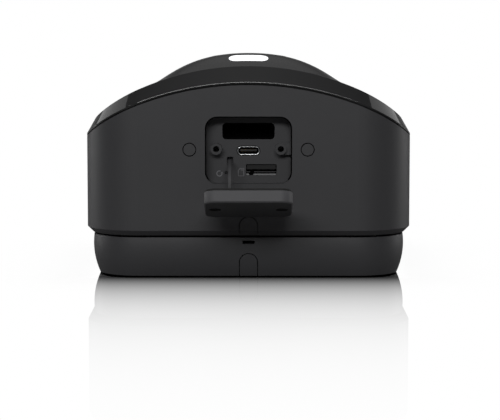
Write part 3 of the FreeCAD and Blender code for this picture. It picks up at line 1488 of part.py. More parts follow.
def card_lip_bevel():
    """The bevel that leads a card up into its slot."""
    left = size("card_slot_centre") - size("card_slot_width") / 2
    floor = -HALF_DEPTH + size("bay_depth")
    level = size("card_slot_level") - size("card_slot_height") / 2
    lip = size("card_lip")
    corners = [(floor - 0.01, level - lip), (floor + lip, level), (floor + lip, level + lip),
               (floor - 0.01, level + lip)]
    wire = Part.makePolygon([Vector(left, y, z) for y, z in corners + corners[:1]])
    return shaped("card_lip_wedge", Part.Face(wire).extrude(Vector(size("card_slot_width"), 0, 0)))


def make_ports():
    """USB socket, card socket, reset button and switch on the port board."""
    board_top = "(port_board_level + port_board_thickness)"
    start = f"({BAY_REAR} + board_standoff)"
    board = centred("port_board_blank", "port_board_width", (start, f"{start} + port_board_length"),
                    ("port_board_level", board_top))
    notch = block("port_board_notch",
                  ("-strap_slot_offset - anchor_width / 2 - notch_play / 2",
                   "-strap_slot_offset + anchor_width / 2 + notch_play / 2"),
                  (f"{start} - 1", f"{start} + strap_pull + anchor_thickness + notch_play"),
                  ("port_board_level - 1", f"{board_top} + 1"))
    sub_part("port_board", cut("port_board_cut", board, notch))

    mouth = f"({BAY_FLOOR} - usb_proud)"
    rear = f"({mouth} + usb_length)"
    half = "usb_height / 2"
    outer = centred("usb_outer", "usb_width", (mouth, rear), (f"usb_level - {half}", f"usb_level + {half}"),
                    "y", size("usb_height") / 2 * NEARLY_ROUND)
    inner = centred("usb_inner", "usb_width - 2 * usb_sheet", (f"{mouth} - 1", f"{rear} - usb_sheet"),
                    (f"usb_level - {half} + usb_sheet", f"usb_level + {half} - usb_sheet"),
                    "y", (size("usb_height") / 2 - size("usb_sheet")) * 0.97)
    sub_part("usb_c_shell", cut("usb_c_shell_cut", outer, inner))
    tongue = centred("usb_tongue_blade", "usb_tongue_width", (f"{mouth} + usb_tongue_set", f"{rear} - 1"),
                     ("usb_level - usb_tongue_height / 2", "usb_level + usb_tongue_height / 2"))
    core = centred("usb_tongue_core", "usb_width - 2 * usb_sheet - usb_height / 2",
                   (f"{rear} - usb_sheet - 1.6", f"{rear} - usb_sheet - touch_gap"),
                   (f"usb_level - {half} + usb_sheet + touch_gap",
                    f"usb_level + {half} - usb_sheet - touch_gap"))
    sub_part("usb_c_tongue", join("usb_c_tongue_join", tongue, core))
    contacts = []
    for face, sign in (("upper", ""), ("lower", "-")):
        for number in range(12):
            across = f"(contact_pitch * ({number} - 5.5))"
            near_level = f"{sign}usb_tongue_height / 2"
            far_level = f"{sign}(usb_tongue_height / 2 + contact_rise)"
            low, high = (far_level, near_level) if sign else (near_level, far_level)
            contacts.append(
                block(f"contact_{face}_{number + 1}",
                      (f"{across} - contact_width / 2", f"{across} + contact_width / 2"),
                      (f"{mouth} + usb_tongue_set + 0.5", f"{mouth} + usb_tongue_set + 3.5"),
                      (f"usb_level + {low}" if not sign else f"usb_level + ({low})", f"usb_level + ({high})"))
            )
    sub_part("usb_c_contacts", group("usb_c_contacts_group", *contacts))
    riser = centred("usb_riser", "usb_width - usb_height", (f"{start} + 0.2", f"{rear} - 0.4"),
                    (f"{board_top} + touch_gap", f"usb_level - {half} - touch_gap"))
    sub_part("usb_c_riser", riser)

    top = "(port_board_level - touch_gap)"
    left = "(card_slot_centre - card_socket_width / 2)"
    socket = block("card_socket_block", (left, f"{left} + card_socket_width"),
                   (f"{BAY_REAR} + touch_gap", f"{BAY_REAR} + touch_gap + card_socket_length"),
                   (f"{top} - card_socket_height", top))
    room = block("card_room", ("card_slot_centre - card_width / 2", "card_slot_centre + card_width / 2"),
                 (f"{BAY_REAR} - 1", f"{BAY_REAR} + card_socket_length - 1"),
                 (f"{top} - card_socket_height / 2 - card_gap / 2",
                  f"{top} - card_socket_height / 2 + card_gap / 2"))
    sub_part("microsd_socket", cut("microsd_socket_cut", socket, room))

    centre = ("-pinhole_offset", "pinhole_level")
    flange_start = f"({BAY_REAR} + moving_gap)"
    stem = rod("button_stem_rod", "y", centre, "button_radius", f"{flange_start} - button_stem",
               f"{flange_start} + 0.2")
    disc = rod("button_disc", "y", centre, "button_flange_radius", flange_start,
               f"{flange_start} + button_flange")
    sub_part("reset_button", join("reset_button_join", stem, disc))
    switch_start = f"({flange_start} + button_flange + button_travel + moving_gap)"
    switch = block("switch_block", ("-pinhole_offset - switch_width + 1", "-pinhole_offset + 1"),
                   (switch_start, f"{switch_start} + switch_length"),
                   (f"{top} - switch_height", top))
    sub_part("reset_switch", switch)


# Port cover on its strap

HINGE = Vector(0, -HALF_DEPTH - size("hinge_out"), size("hinge_level"))
CLOSED = Vector(0, -HALF_DEPTH, size("bay_bottom") + size("cover_play"))
PULLED = Vector(0, -size("strap_pull"), 0)
SWING = Placement(HINGE, Rotation(Vector(1, 0, 0), size("lid_swing"))).multiply(Placement(-HINGE, Rotation()))
OPEN = SWING.multiply(Placement(CLOSED + PULLED, Rotation()))


def make_port_cover():
    """The port cover, drawn closed with its outer face at y = 0, then swung open."""
    width = "(bay_width - 2 * cover_play)"
    height = "(bay_height - 2 * cover_play)"
    corner = size("bay_corner") - size("cover_play")
    rim_end = "(lid_thickness - lid_lip - touch_gap)"
    outer = centred("lid_outer", width, ("0", rim_end), ("0", height), "y", corner)
    edge = doc.addObject("Part::Chamfer", "lid_edge_bevel")
    edge.Base = outer
    doc.recompute()
    bevel = size("lid_edge")
    edge.Edges = [
        (number, bevel, bevel) for number, item in enumerate(outer.Shape.Edges, 1)
        if max(abs(vertex.Y) for vertex in item.Vertexes) < 1e-6
    ]
    inner = centred("lid_inner", f"{width} - 2 * lid_rim", ("lid_plate", f"{rim_end} + 1"),
                    ("lid_rim", f"{height} - lid_rim"), "y", corner - size("lid_rim"))
    level = "(boss_level - bay_bottom - cover_play)"
    tools = [inner]
    for side, sign in SIGNS.items():
        centre = (f"{sign}boss_spacing / 2", level)
        tools.append(rod(f"lid_hole_{side}", "y", centre, "lid_hole_radius", "-1", "lid_plate + 1"))
        tools.append(rod(f"lid_sink_{side}", "y", centre, "lid_sink_radius", "-1", "lid_plate / 2"))
    tools.append(lid_land_notch("lid", f"{rim_end} + 1"))
    strap_x = "-strap_slot_offset"
    tools.append(block("lid_strap_window",
                       (f"{strap_x} - strap_width / 2 - moving_gap",
                        f"{strap_x} + strap_width / 2 + moving_gap"),
                       ("lid_plate + strap_lug_height",
                        "lid_plate + strap_lug_height + strap_thickness + 2 * strap_play"),
                       ("-1", "lid_rim + 0.5")))
    lug = block("lid_strap_lug", (f"{strap_x} - strap_lug_width / 2", f"{strap_x} + strap_lug_width / 2"),
                ("lid_plate - 0.3", "lid_plate + strap_lug_height"),
                ("lid_rim - 0.3", "lid_rim + strap_lug_length"))
    shell = cut("lid_shell", edge, *tools)
    sub_part("port_cover", join("port_cover_join", shell, lug), OPEN)

    ring = centred("gasket_outer", f"{width} - 2 * gasket_inset", (f"{rim_end} + touch_gap", "lid_thickness"),
                   ("gasket_inset", f"{height} - gasket_inset"), "y", corner - size("gasket_inset"))
    opening = centred("gasket_inner", f"{width} - 2 * (lid_rim - gasket_overhang)",
                      (f"{rim_end} - 1", "lid_thickness + 1"),
                      ("lid_rim - gasket_overhang", f"{height} - lid_rim + gasket_overhang"), "y",
                      corner - size("lid_rim"))
    notch = lid_land_notch("gasket", "lid_thickness + 1")
    sub_part("port_cover_gasket", cut("gasket_cut", ring, opening, notch), OPEN)


def lid_land_notch(name, end):
    """Room in the cover's rim for the raised land beside the right boss."""
    level = "(boss_level - bay_bottom - cover_play)"
    return block(f"{name}_land_notch", ("boss_spacing / 2", "bay_width / 2 + 1"),
                 ("bay_depth - land_rise - notch_clearance - assembly_gap", end),
                 (f"{level} - land_height / 2 - notch_clearance",
                  f"{level} + land_height / 2 + notch_clearance"))


def make_strap():
    """The soft strap from its anchor behind the bay's floor to the lug in the open cover."""
    x = -size("strap_slot_offset")
    level = size("strap_slot_level")
    floor = -HALF_DEPTH + size("bay_depth")
    depth = size("lid_plate") + size("strap_lug_height") + size("strap_play") + size("strap_thickness") / 2
    lug = OPEN.multVec(Vector(x, depth, size("lid_rim") + size("strap_lug_length")))
    neck = OPEN.multVec(Vector(x, depth, -size("strap_neck")))
    anchor_face = floor + size("bay_floor") + size("touch_gap")
    points = [
        Vector(x, anchor_face, level),
        Vector(x, floor, level),
        *(Vector(x, floor - size(f"strap_{bend}_out"), level - size(f"strap_{bend}_drop"))
          for bend in ("first", "second", "third")),
        neck,
    ]
    curve = Part.BSplineCurve()
    curve.interpolate(points, InitialTangent=Vector(0, -1, 0), FinalTangent=(lug - neck).normalize())
    spine = Part.Wire([curve.toShape(), Part.makeLine(neck, lug)])
    half_width = size("strap_width") / 2
    half_thick = size("strap_thickness") / 2
    corners = [(-half_width, -half_thick), (half_width, -half_thick), (half_width, half_thick),
               (-half_width, half_thick)]
    profile = Part.makePolygon([Vector(x + a, anchor_face, level + b) for a, b in corners + corners[:1]])
    strap = spine.makePipeShell([profile], True, False)
    sub_part("port_cover_strap", shaped("strap_band", strap))
    start = f"({BAY_REAR} + touch_gap)"
    anchor = block("strap_anchor_block",
                   ("-strap_slot_offset - anchor_width / 2", "-strap_slot_offset + anchor_width / 2"),
                   (start, f"{start} + anchor_thickness"),
                   ("strap_slot_level + anchor_rise - anchor_height / 2",
                    "strap_slot_level + anchor_rise + anchor_height / 2"))
    sub_part("strap_anchor", anchor)


# Mounting base


def base_plan(inset, low, high):
    """The base's rounded plan, drawn in by an inset from its widest line."""
    return plan_prism(size("base_setback") + inset, low, high)


def make_base():
    """The shallow tray that is screwed to the wall, with its barrel-shaped side."""
    low = size("pad_thickness")
    top = size("body_bottom") - size("base_gap")
    radius = size("barrel_radius")
    middle = size("barrel_level")
    reach_x = HALF_WIDTH - size("base_setback")
    reach_y = HALF_DEPTH - size("base_setback")
    corner = size("body_corner") - size("base_setback")

    def inset(level):
        return radius - math.sqrt(radius**2 - (level - middle) ** 2)

    start = Vector(-reach_x + corner, -reach_y, 0)
    lower = start + Vector(0, inset(low), low)
    widest = start + Vector(0, 0, middle)
    upper = start + Vector(0, inset(top), top)
    shoulder = low + size("base_foot_rise")
    wall = size("base_wall")
    inner = [
        start + Vector(0, wall, top),
        start + Vector(0, wall, shoulder + size("base_foot_wall") - wall),
        start + Vector(0, size("base_foot_wall"), shoulder),
        start + Vector(0, size("base_foot_wall"), low),
    ]
    outline = [Part.Arc(lower, widest, upper).toShape()]
    stops = [upper] + inner + [lower]
    outline += [Part.makeLine(first, second) for first, second in zip(stops, stops[1:])]
    profile = Part.Wire(outline)
    path = plan_prism(size("base_setback"), 0.0, 1.0)
    floor_face = min(path.Faces, key=lambda face: face.CenterOfMass.z)
    spine = Part.Wire(Part.sortEdges(floor_face.OuterWire.Edges)[0])
    ring = shaped("base_ring", spine.makePipeShell([profile], True, False))

    plate = shaped("base_floor_plate", base_plan(size("base_foot_wall") - 0.5, low, low + size("base_floor")))
    pieces = [ring, plate]
    tools = []
    for side, sign in SIGNS.items():
        for end, away in ENDS.items():
            centre = (f"{sign}wall_screw_across / 2", f"{away}wall_screw_along / 2")
            pieces.append(rod(f"wall_boss_{side}_{end}", "z", centre, "wall_screw_boss_radius",
                              "0", f"{BASE_FLOOR_TOP} + wall_screw_boss"))
            tools.append(rod(f"wall_hole_{side}_{end}", "z", centre, "wall_screw_radius",
                             "-1", f"{BASE_FLOOR_TOP} + wall_screw_boss + 1"))
            centre = (f"{sign}seat_post_across / 2", f"{away}seat_post_along / 2")
            pieces.append(rod(f"seat_post_{side}_{end}", "z", centre, "seat_post_radius",
                              f"{BASE_FLOOR_TOP} - 0.5", "body_bottom + underside_rise - seat_clearance"))
        near = f"({BASE_FRONT} + base_foot_wall + moving_gap)"
        first = f"{sign}(latch_width / 2 + moving_gap)"
        last = f"{sign}(latch_width / 2 + moving_gap + guide_width)"
        low_x, high_x = (last, first) if sign else (first, last)
        pieces.append(block(f"latch_guide_{side}", (low_x, high_x), (near, f"{near} + guide_length"),
                            (f"{BASE_FLOOR_TOP} - 0.5", f"{BASE_FLOOR_TOP} + guide_height")))
    tools.append(rod("cable_hole", "z", ("0", "0"), "cable_hole_radius", "0", f"{BASE_FLOOR_TOP} + 1"))
    tools.append(centred("release_way", "release_slot_width",
                         (f"{BASE_FRONT} - 1", f"{BASE_FRONT} + base_wall + 1"),
                         ("release_slot_level - release_slot_height / 2",
                          "release_slot_level + release_slot_height / 2"), "y",
                         size("release_slot_height") * 0.3))
    tools.append(knockout_form("base", "0", "base_knockout_top", "0", "base_foot_wall + 2", BASE_FRONT))
    sub_part("mounting_base", cut("mounting_base_cut", join("base_blank", *pieces), *tools))

    pads = []
    for side, sign in SIGNS.items():
        for end, away in ENDS.items():
            x = f"({sign}pad_across / 2)"
            y = f"({away}pad_along / 2)"
            pads.append(block(f"pad_{side}_{end}", (f"{x} - pad_width / 2", f"{x} + pad_width / 2"),
                              (f"{y} - pad_length / 2", f"{y} + pad_length / 2"), ("0", "pad_thickness"),
                              "z", size("pad_corner")))
    sub_part("foot_pads", group("foot_pads_group", *pads))
    return ring


def make_latch():
    """The release latch: a pin through the slot pushes it back until the camera lifts off."""
    near = f"({BASE_FRONT} + base_foot_wall + moving_gap)"
    low = f"({BASE_FLOOR_TOP} + moving_gap)"
    far = f"({near} + latch_thickness)"
    plate = centred("latch_plate", "latch_width", (near, far), (low, f"{low} + latch_height"))
    hook = centred("latch_hook", "latch_hook_width", (f"{far} - latch_hook_thickness", far),
                   (f"{low} + latch_height - 0.5", f"{low} + latch_height + latch_hook_rise"))
    sub_part("release_latch", join("release_latch_join", plate, hook))


make_main_housing()
outer_form = make_front_cover()
make_front_seal()
make_lens()
make_windows(outer_form)
make_status_board()
make_lamps()
make_motion_sensor()
make_plugs()
make_clamp_screws()
make_inner_frame()
make_main_board()
make_battery()
make_sound()
make_port_bay()
make_ports()
make_port_cover()
make_strap()
make_latch()
make_knockouts(make_base())
doc.recompute()

for item in doc.Objects:
    if "Invalid" in item.State or "Error" in item.State:
        raise ValueError(f"{item.Label} failed: {item.State}")
os.makedirs("parts", exist_ok=True)
for name, item in NODES.items():
    if item.Shape.isNull() or not item.Shape.isValid():
        raise ValueError(f"{name} has no valid shape")
    item.Shape.exportStep(f"parts/{name}.step")
    print(name, len(item.Shape.Solids), round(item.Shape.Volume, 1))
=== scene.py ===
# %% [markdown]
# # A wide-angle security camera and its looks
# The camera's solids come as a imported frame: every piece already stands in its place, in metres.
# This lesson gives each piece the finish of the real one, and makes anew the pieces whose looks
# need more than a plain solid has. It starts by loading the frame.

# %% Load the imported solids
import math

import bmesh
import bpy
from mathutils import Matrix, Vector


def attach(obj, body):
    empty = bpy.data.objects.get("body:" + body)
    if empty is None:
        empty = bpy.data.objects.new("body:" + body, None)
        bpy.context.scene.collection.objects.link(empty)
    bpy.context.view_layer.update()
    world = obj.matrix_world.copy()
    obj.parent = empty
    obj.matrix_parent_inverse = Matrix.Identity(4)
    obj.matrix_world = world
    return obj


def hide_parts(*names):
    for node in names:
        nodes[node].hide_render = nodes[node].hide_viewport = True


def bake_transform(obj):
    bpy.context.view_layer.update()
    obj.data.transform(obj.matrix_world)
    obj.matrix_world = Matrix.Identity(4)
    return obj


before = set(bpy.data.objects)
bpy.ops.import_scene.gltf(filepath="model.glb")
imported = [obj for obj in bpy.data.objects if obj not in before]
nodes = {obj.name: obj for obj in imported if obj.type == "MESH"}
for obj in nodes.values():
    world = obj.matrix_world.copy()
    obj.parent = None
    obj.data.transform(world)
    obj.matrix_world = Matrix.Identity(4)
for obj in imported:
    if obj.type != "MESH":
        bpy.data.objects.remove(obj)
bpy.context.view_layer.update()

MM = 0.001

# %% [markdown]
# ## The view
# The real camera was photographed from straight in front of its port side, with a long lens and
# the eye a little above the object. A long lens keeps the sides nearly parallel, so the width of
# the near wall and the height at which the far edge of the nose shows fix the distance and the
# eye level. The lens is pitched down instead of shifted, so that it works from any other side.

# %% Place the camera
middle = 0.6 * MM
near_wall = -52 * MM
eye_distance = 800 * MM
eye_level = 110.9 * MM
aim_level = 27.7 * MM
focal_length = 144.8
film_width = 36
eye = Vector((middle, near_wall - eye_distance, eye_level))
aim = Vector((middle, near_wall, aim_level))
lens = bpy.data.cameras.new("portrait_lens")
lens.lens = focal_length
lens.sensor_width = film_width
camera = bpy.data.objects.new("portrait_camera", lens)
bpy.context.scene.collection.objects.link(camera)
camera.matrix_world = (aim - eye).to_track_quat("-Z", "Y").to_matrix().to_4x4()
camera.matrix_world.translation = eye
bpy.context.scene.camera = camera
bpy.context.scene.view_settings.view_transform = "Standard"
print("the eye is", round((aim - eye).length, 3), "m from what it looks at")

# %% [markdown]
# ## Two helpers for every finish
# Colours are written as the eye sees them on a screen, and a shader wants them linear, so one
# function turns the first into the second. A second one adds a node with its settings and links,
# which keeps each finish short enough to read as a recipe.

# %% Helpers for colours and nodes
def linear(code):
    """Turns an sRGB hex colour into the linear values that a shader takes."""
    shares = [int(code[start:start + 2], 16) / 255 for start in (1, 3, 5)]
    return [s / 12.92 if s <= 0.04045 else ((s + 0.055) / 1.055) ** 2.4 for s in shares] + [1.0]


def add(tree, kind, inputs=None, **settings):
    """Adds a node. inputs maps a socket's name or number to a value or to the socket that feeds it."""
    node = tree.nodes.new(kind)
    for key, value in settings.items():
        setattr(node, key, value)
    for key, value in (inputs or {}).items():
        if isinstance(value, bpy.types.NodeSocket):
            tree.links.new(value, node.inputs[key])
        else:
            node.inputs[key].default_value = value
    return node


# A node that mixes colours has several sockets of one name, so these go by number.
FACTOR, COLOUR_A, COLOUR_B, MIXED = 0, 6, 7, 2
print("mid grey is", [round(share, 3) for share in linear("#808080")])

# %% [markdown]
# ## Floor and light
# The photograph has a white studio: a backdrop that is pure white, a white floor that mirrors the
# object faintly and less with distance, one broad light box low behind the lens, and a long strip
# at either side whose near end shows in the glossy front as a sharp border. Low lights at the
# back corners draw a pale rim down the housing's sides. A ceiling that is dim at its edge and
# paler overhead gives the nose its gradient. The world is white to the eye, through glass and in
# the floor's mirror.

# %% Light the world
# Radiance, where 1 is white: the ceiling right overhead, and the backdrop as gloss mirrors it.
OVERHEAD = 0.41
BACKDROP_IN_GLOSS = 0.15
# The share of the ceiling's light that is left towards either side.
SIDE_SHARE = 0.45

world = bpy.data.worlds.new("white_studio")
bpy.context.scene.world = world
world.use_nodes = True
sky = world.node_tree
sky.nodes.clear()
path = add(sky, "ShaderNodeLightPath")
look = add(sky, "ShaderNodeTexCoord")
where = add(sky, "ShaderNodeSeparateXYZ", {0: look.outputs["Generated"]})
ceiling = add(sky, "ShaderNodeMapRange", {"Value": where.outputs["Z"], "From Min": 0.1, "From Max": 0.9,
                                          "To Min": 0.0, "To Max": OVERHEAD}, interpolation_type="SMOOTHSTEP")
aside = add(sky, "ShaderNodeMath", {0: where.outputs["X"]}, operation="ABSOLUTE")
aside = add(sky, "ShaderNodeMapRange", {"Value": aside.outputs[0], "From Min": 0.05, "From Max": 0.5,
                                        "To Min": 1.0, "To Max": SIDE_SHARE})
ceiling = add(sky, "ShaderNodeMath", {0: ceiling.outputs[0], 1: aside.outputs[0]}, operation="MULTIPLY")
far_side = add(sky, "ShaderNodeMapRange", {"Value": where.outputs["Y"], "From Min": 0.3, "From Max": 0.6})
low_part = add(sky, "ShaderNodeMapRange", {"Value": where.outputs["Z"], "From Min": 0.35, "From Max": 0.1})
# How white the world is seen: a little in gloss, where the low part behind the object is the
# backdrop, and fully by the eye, through glass and in the floor, the only perfect mirror.
seen = far_side.outputs[0]
for operation, other in (("MULTIPLY", low_part.outputs[0]), ("MULTIPLY", path.outputs["Is Glossy Ray"]),
                         ("MULTIPLY", BACKDROP_IN_GLOSS), ("MAXIMUM", path.outputs["Is Singular Ray"]),
                         ("MAXIMUM", path.outputs["Is Camera Ray"]),
                         ("MAXIMUM", path.outputs["Is Transmission Ray"])):
    seen = add(sky, "ShaderNodeMath", {0: seen, 1: other}, operation=operation).outputs[0]
strength = add(sky, "ShaderNodeMix", {"Factor": seen, "A": ceiling.outputs[0], "B": 1.0})
white = add(sky, "ShaderNodeBackground", {"Color": linear("#ffffff"), "Strength": strength.outputs[0]})
add(sky, "ShaderNodeOutputWorld", {"Surface": white.outputs[0]})
print("world:", len(sky.nodes), "nodes")

# %% Hang the light boxes
BOXES = {
    # name: (place in m, size in m, direction of its long side, radiance where 1 is white)
    "key_box": ((-0.2, -1.3, 0.75), (1.1, 0.3), (1, 0, 0), 9.0),
    "left_strip": ((-0.82, 0.42, 0.67), (1.25, 0.45), (0.064, 0.884, -0.464), 0.93),
    "right_strip": ((0.82, 0.42, 0.67), (1.25, 0.45), (-0.064, 0.884, -0.464), 0.93),
    "left_rim": ((-1.0, 0.45, 0.15), (0.5, 0.35), (0, 1, 0), 3.2),
    "right_rim": ((1.0, 0.45, 0.15), (0.5, 0.35), (0, 1, 0), 3.2),
}
LIT_POINT = Vector((0, 0, 0.04))
for name, (place, (wide, high), along, radiance) in BOXES.items():
    lamp = bpy.data.lights.new(name, "AREA")
    lamp.shape = "RECTANGLE"
    lamp.size, lamp.size_y = wide, high
    lamp.energy = radiance * math.pi * wide * high
    hung = bpy.data.objects.new(name, lamp)
    bpy.context.scene.collection.objects.link(hung)
    away = (Vector(place) - LIT_POINT).normalized()
    long_side = (Vector(along) - Vector(along).dot(away) * away).normalized()
    hung.matrix_world = Matrix((long_side, away.cross(long_side), away)).transposed().to_4x4()
    hung.matrix_world.translation = Vector(place)
    hung.visible_camera = False
print("light boxes:", ", ".join(BOXES))

# %% Lay the floor
FLOOR_REACH = 6.0
HALF_FOOT = (61.5 * MM, 47.5 * MM, 0)
# The distance from the foot at which the mirror, or the shadow, has fallen to about a third.
MIRROR_FADE = 62 * MM
SHADOW_FADE = 9 * MM
SHADOW_SHARE = 0.8

floor_mesh = bpy.data.meshes.new("floor")
floor_mesh.from_pydata([(x * FLOOR_REACH, y * FLOOR_REACH, 0) for x, y in ((-1, -1), (1, -1), (1, 1), (-1, 1))],
                       [], [(0, 1, 2, 3)])
floor = bpy.data.objects.new("floor", floor_mesh)
bpy.context.scene.collection.objects.link(floor)
studio_floor = bpy.data.materials.new("white_acrylic_floor")
studio_floor.use_nodes = True
tree = studio_floor.node_tree
tree.nodes.clear()
spot = add(tree, "ShaderNodeTexCoord")
# How far a spot lies outside the foot's outline.
apart = add(tree, "ShaderNodeVectorMath", {0: spot.outputs["Object"]}, operation="ABSOLUTE")
apart = add(tree, "ShaderNodeVectorMath", {0: apart.outputs[0], 1: HALF_FOOT}, operation="SUBTRACT")
apart = add(tree, "ShaderNodeVectorMath", {0: apart.outputs[0], 1: (0, 0, 0)}, operation="MAXIMUM")
apart = add(tree, "ShaderNodeVectorMath", {0: apart.outputs[0]}, operation="LENGTH")
falls = []
for length in (MIRROR_FADE, SHADOW_FADE):
    fall = add(tree, "ShaderNodeMath", {0: apart.outputs["Value"], 1: -1 / length}, operation="MULTIPLY")
    falls.append(add(tree, "ShaderNodeMath", {0: fall.outputs[0]}, operation="EXPONENT"))
fade, shadow = falls
shadow = add(tree, "ShaderNodeMath", {0: shadow.outputs[0], 1: SHADOW_SHARE}, operation="MULTIPLY")
matt = add(tree, "ShaderNodeBsdfDiffuse", {"Color": linear("#f7f7f7")})
glow = add(tree, "ShaderNodeEmission", {"Color": linear("#ffffff"), "Strength": 1.0})
ground = add(tree, "ShaderNodeMixShader", {0: shadow.outputs[0], 1: glow.outputs[0], 2: matt.outputs[0]})
mirror = add(tree, "ShaderNodeBsdfGlossy", {"Color": linear("#ffffff"), "Roughness": 0.0})
seen_floor = add(tree, "ShaderNodeMixShader", {0: fade.outputs[0], 1: ground.outputs[0], 2: mirror.outputs[0]})
# Light meets a plain grey floor, so that the glowing one lights nothing from below.
path = add(tree, "ShaderNodeLightPath")
plain = add(tree, "ShaderNodeBsdfDiffuse", {"Color": linear("#8c8c8c")})
for_eye = add(tree, "ShaderNodeMixShader", {0: path.outputs["Is Camera Ray"], 1: plain.outputs[0],
                                            2: seen_floor.outputs[0]})
add(tree, "ShaderNodeOutputMaterial", {"Surface": for_eye.outputs[0]})
floor_mesh.materials.append(studio_floor)
print("floor:", len(tree.nodes), "nodes")

# %% [markdown]
# ## Finishes
# Most of the camera is moulded plastic. The mould of the housing was eroded by sparks, which leaves
# a grain of about a fifth of a millimetre: from arm's length it only breaks up the highlight. It
# could be painted on, but a noise that tilts the surface a little does what the real grain does
# under any light. The same recipe, with other numbers, serves rubber, foam and card.

# %% A recipe for grained surfaces
# The colour of a moulding varies over about this length.
CLOUD_SIZE = 22 * MM


def start(name, colour, roughness, **values):
    """A new finish: one shader, with everything that is the same all over set on it."""
    material = bpy.data.materials.new(name)
    material.use_nodes = True
    shader = material.node_tree.nodes["Principled BSDF"]
    shader.inputs["Base Color"].default_value = linear(colour)
    shader.inputs["Roughness"].default_value = roughness
    for key, value in values.items():
        shader.inputs[key.replace("_", " ")].default_value = value
    return material, material.node_tree, shader


def grained(name, colour, lighter, roughness, grain_mm, depth_mm, spread=0.08, **values):
    """A finish with a fine grain in its height and gloss, and broad clouds in its colour."""
    material, tree, shader = start(name, colour, roughness, **values)
    spot = add(tree, "ShaderNodeTexCoord").outputs["Object"]
    fine = add(tree, "ShaderNodeTexNoise", {"Vector": spot, "Scale": 1 / (grain_mm * MM), "Detail": 2.0})
    broad = add(tree, "ShaderNodeTexNoise", {"Vector": spot, "Scale": 1 / CLOUD_SIZE, "Detail": 3.0})
    blend = add(tree, "ShaderNodeMix", {FACTOR: broad.outputs["Fac"], COLOUR_A: linear(colour),
                                        COLOUR_B: linear(lighter)}, data_type="RGBA")
    gloss = add(tree, "ShaderNodeMapRange", {"Value": fine.outputs["Fac"], "To Min": roughness - spread,
                                             "To Max": roughness + spread})
    bump = add(tree, "ShaderNodeBump", {"Height": fine.outputs["Fac"], "Distance": depth_mm * MM,
                                        "Strength": 1.0})
    tree.links.new(blend.outputs[MIXED], shader.inputs["Base Color"])
    tree.links.new(gloss.outputs[0], shader.inputs["Roughness"])
    tree.links.new(bump.outputs[0], shader.inputs["Normal"])
    return material


finishes = {
    # Spark-eroded black ABS: a soft sheen with no sharp highlight.
    "housing_plastic": grained("spark_eroded_black_abs", "#3d3d3f", "#414143", 0.5, 0.22, 0.012),
    # Closed-cell rubber cord: matt, nearly without sheen.
    "black_rubber": grained("extruded_black_rubber", "#141414", "#1b1b1b", 0.75, 0.3, 0.02),
    # Moulded soft rubber: matt with a dusty bloom.
    "grey_rubber": grained("moulded_soft_rubber", "#39393b", "#424244", 0.62, 0.35, 0.015),
    # Glass-filled nylon: grey, with short fibres that break up the sheen.
    "inner_plastic": grained("glass_filled_grey_nylon", "#6d6e70", "#7d7e80", 0.6, 0.5, 0.02),
    # Anodised black barrel, blasted so that it throws no light into the lens.
    "black_barrel": grained("blasted_black_aluminium", "#161617", "#1e1e20", 0.45, 0.12, 0.01),
    # Epoxy moulding compound of chips: dark and slightly rough.
    "black_chip": grained("epoxy_moulding_compound", "#1d1e20", "#26272a", 0.55, 0.15, 0.01),
    # Open-cell foam: coarse pores of about a millimetre.
    "foam": grained("open_cell_foam", "#2d2d2f", "#4a4a4d", 0.95, 1.0, 0.25),
    # Stamped and blackened steel of the speaker's basket.
    "speaker_basket": grained("blackened_steel", "#26272a", "#303135", 0.4, 0.6, 0.01, Metallic=0.8),
    # Pressed paper pulp: fibrous and matt.
    "paper_cone": grained("pressed_paper_pulp", "#3a3835", "#55524d", 0.9, 0.8, 0.08),
    # Silicone gel pad: pinkish grey, waxy.
    "thermal_gel": grained("silicone_gel_pad", "#a39aa0", "#b5adb2", 0.5, 0.7, 0.03),
    # Shrink sleeve of the cells: a thin unprinted film, tight and shiny.
    "cell_wrap": grained("shrink_sleeve_film", "#2f6f8f", "#37799a", 0.28, 3.0, 0.03),
    # Ceramic white package of a light-emitting diode.
    "led_white": grained("white_ceramic_package", "#e6e4da", "#f0ece0", 0.4, 0.3, 0.01),
}
print("grained finishes:", len(finishes))

# %% [markdown]
# ## Metals
# Drawn, rolled and stamped metal shows lines along the direction in which it was worked. The
# lines are a noise that is stretched along one axis until it is a hundred times longer than
# wide. They tilt the surface and change its gloss, so the highlight spreads across them.

# %% A recipe for worked metal
LINE_STRETCH = 0.01
# The roughness at the shiniest and the dullest lines, as shares of the metal's own.
SHINIEST, DULLEST = 0.7, 1.4


def worked_metal(name, colour, roughness, line_mm, depth_mm, along="X"):
    """A metal finish with lines along one axis."""
    material, tree, shader = start(name, colour, roughness, Metallic=1.0)
    spot = add(tree, "ShaderNodeTexCoord")
    stretch = [1.0, 1.0, 1.0]
    stretch["XYZ".index(along)] = LINE_STRETCH
    drawn = add(tree, "ShaderNodeMapping", {"Vector": spot.outputs["Object"], "Scale": stretch})
    lines = add(tree, "ShaderNodeTexNoise", {"Vector": drawn.outputs[0], "Scale": 1 / (line_mm * MM),
                                             "Detail": 4.0})
    gloss = add(tree, "ShaderNodeMapRange", {"Value": lines.outputs["Fac"], "To Min": roughness * SHINIEST,
                                             "To Max": roughness * DULLEST})
    tree.links.new(gloss.outputs[0], shader.inputs["Roughness"])
    bump = add(tree, "ShaderNodeBump", {"Height": lines.outputs["Fac"], "Distance": depth_mm * MM})
    tree.links.new(bump.outputs[0], shader.inputs["Normal"])
    return material


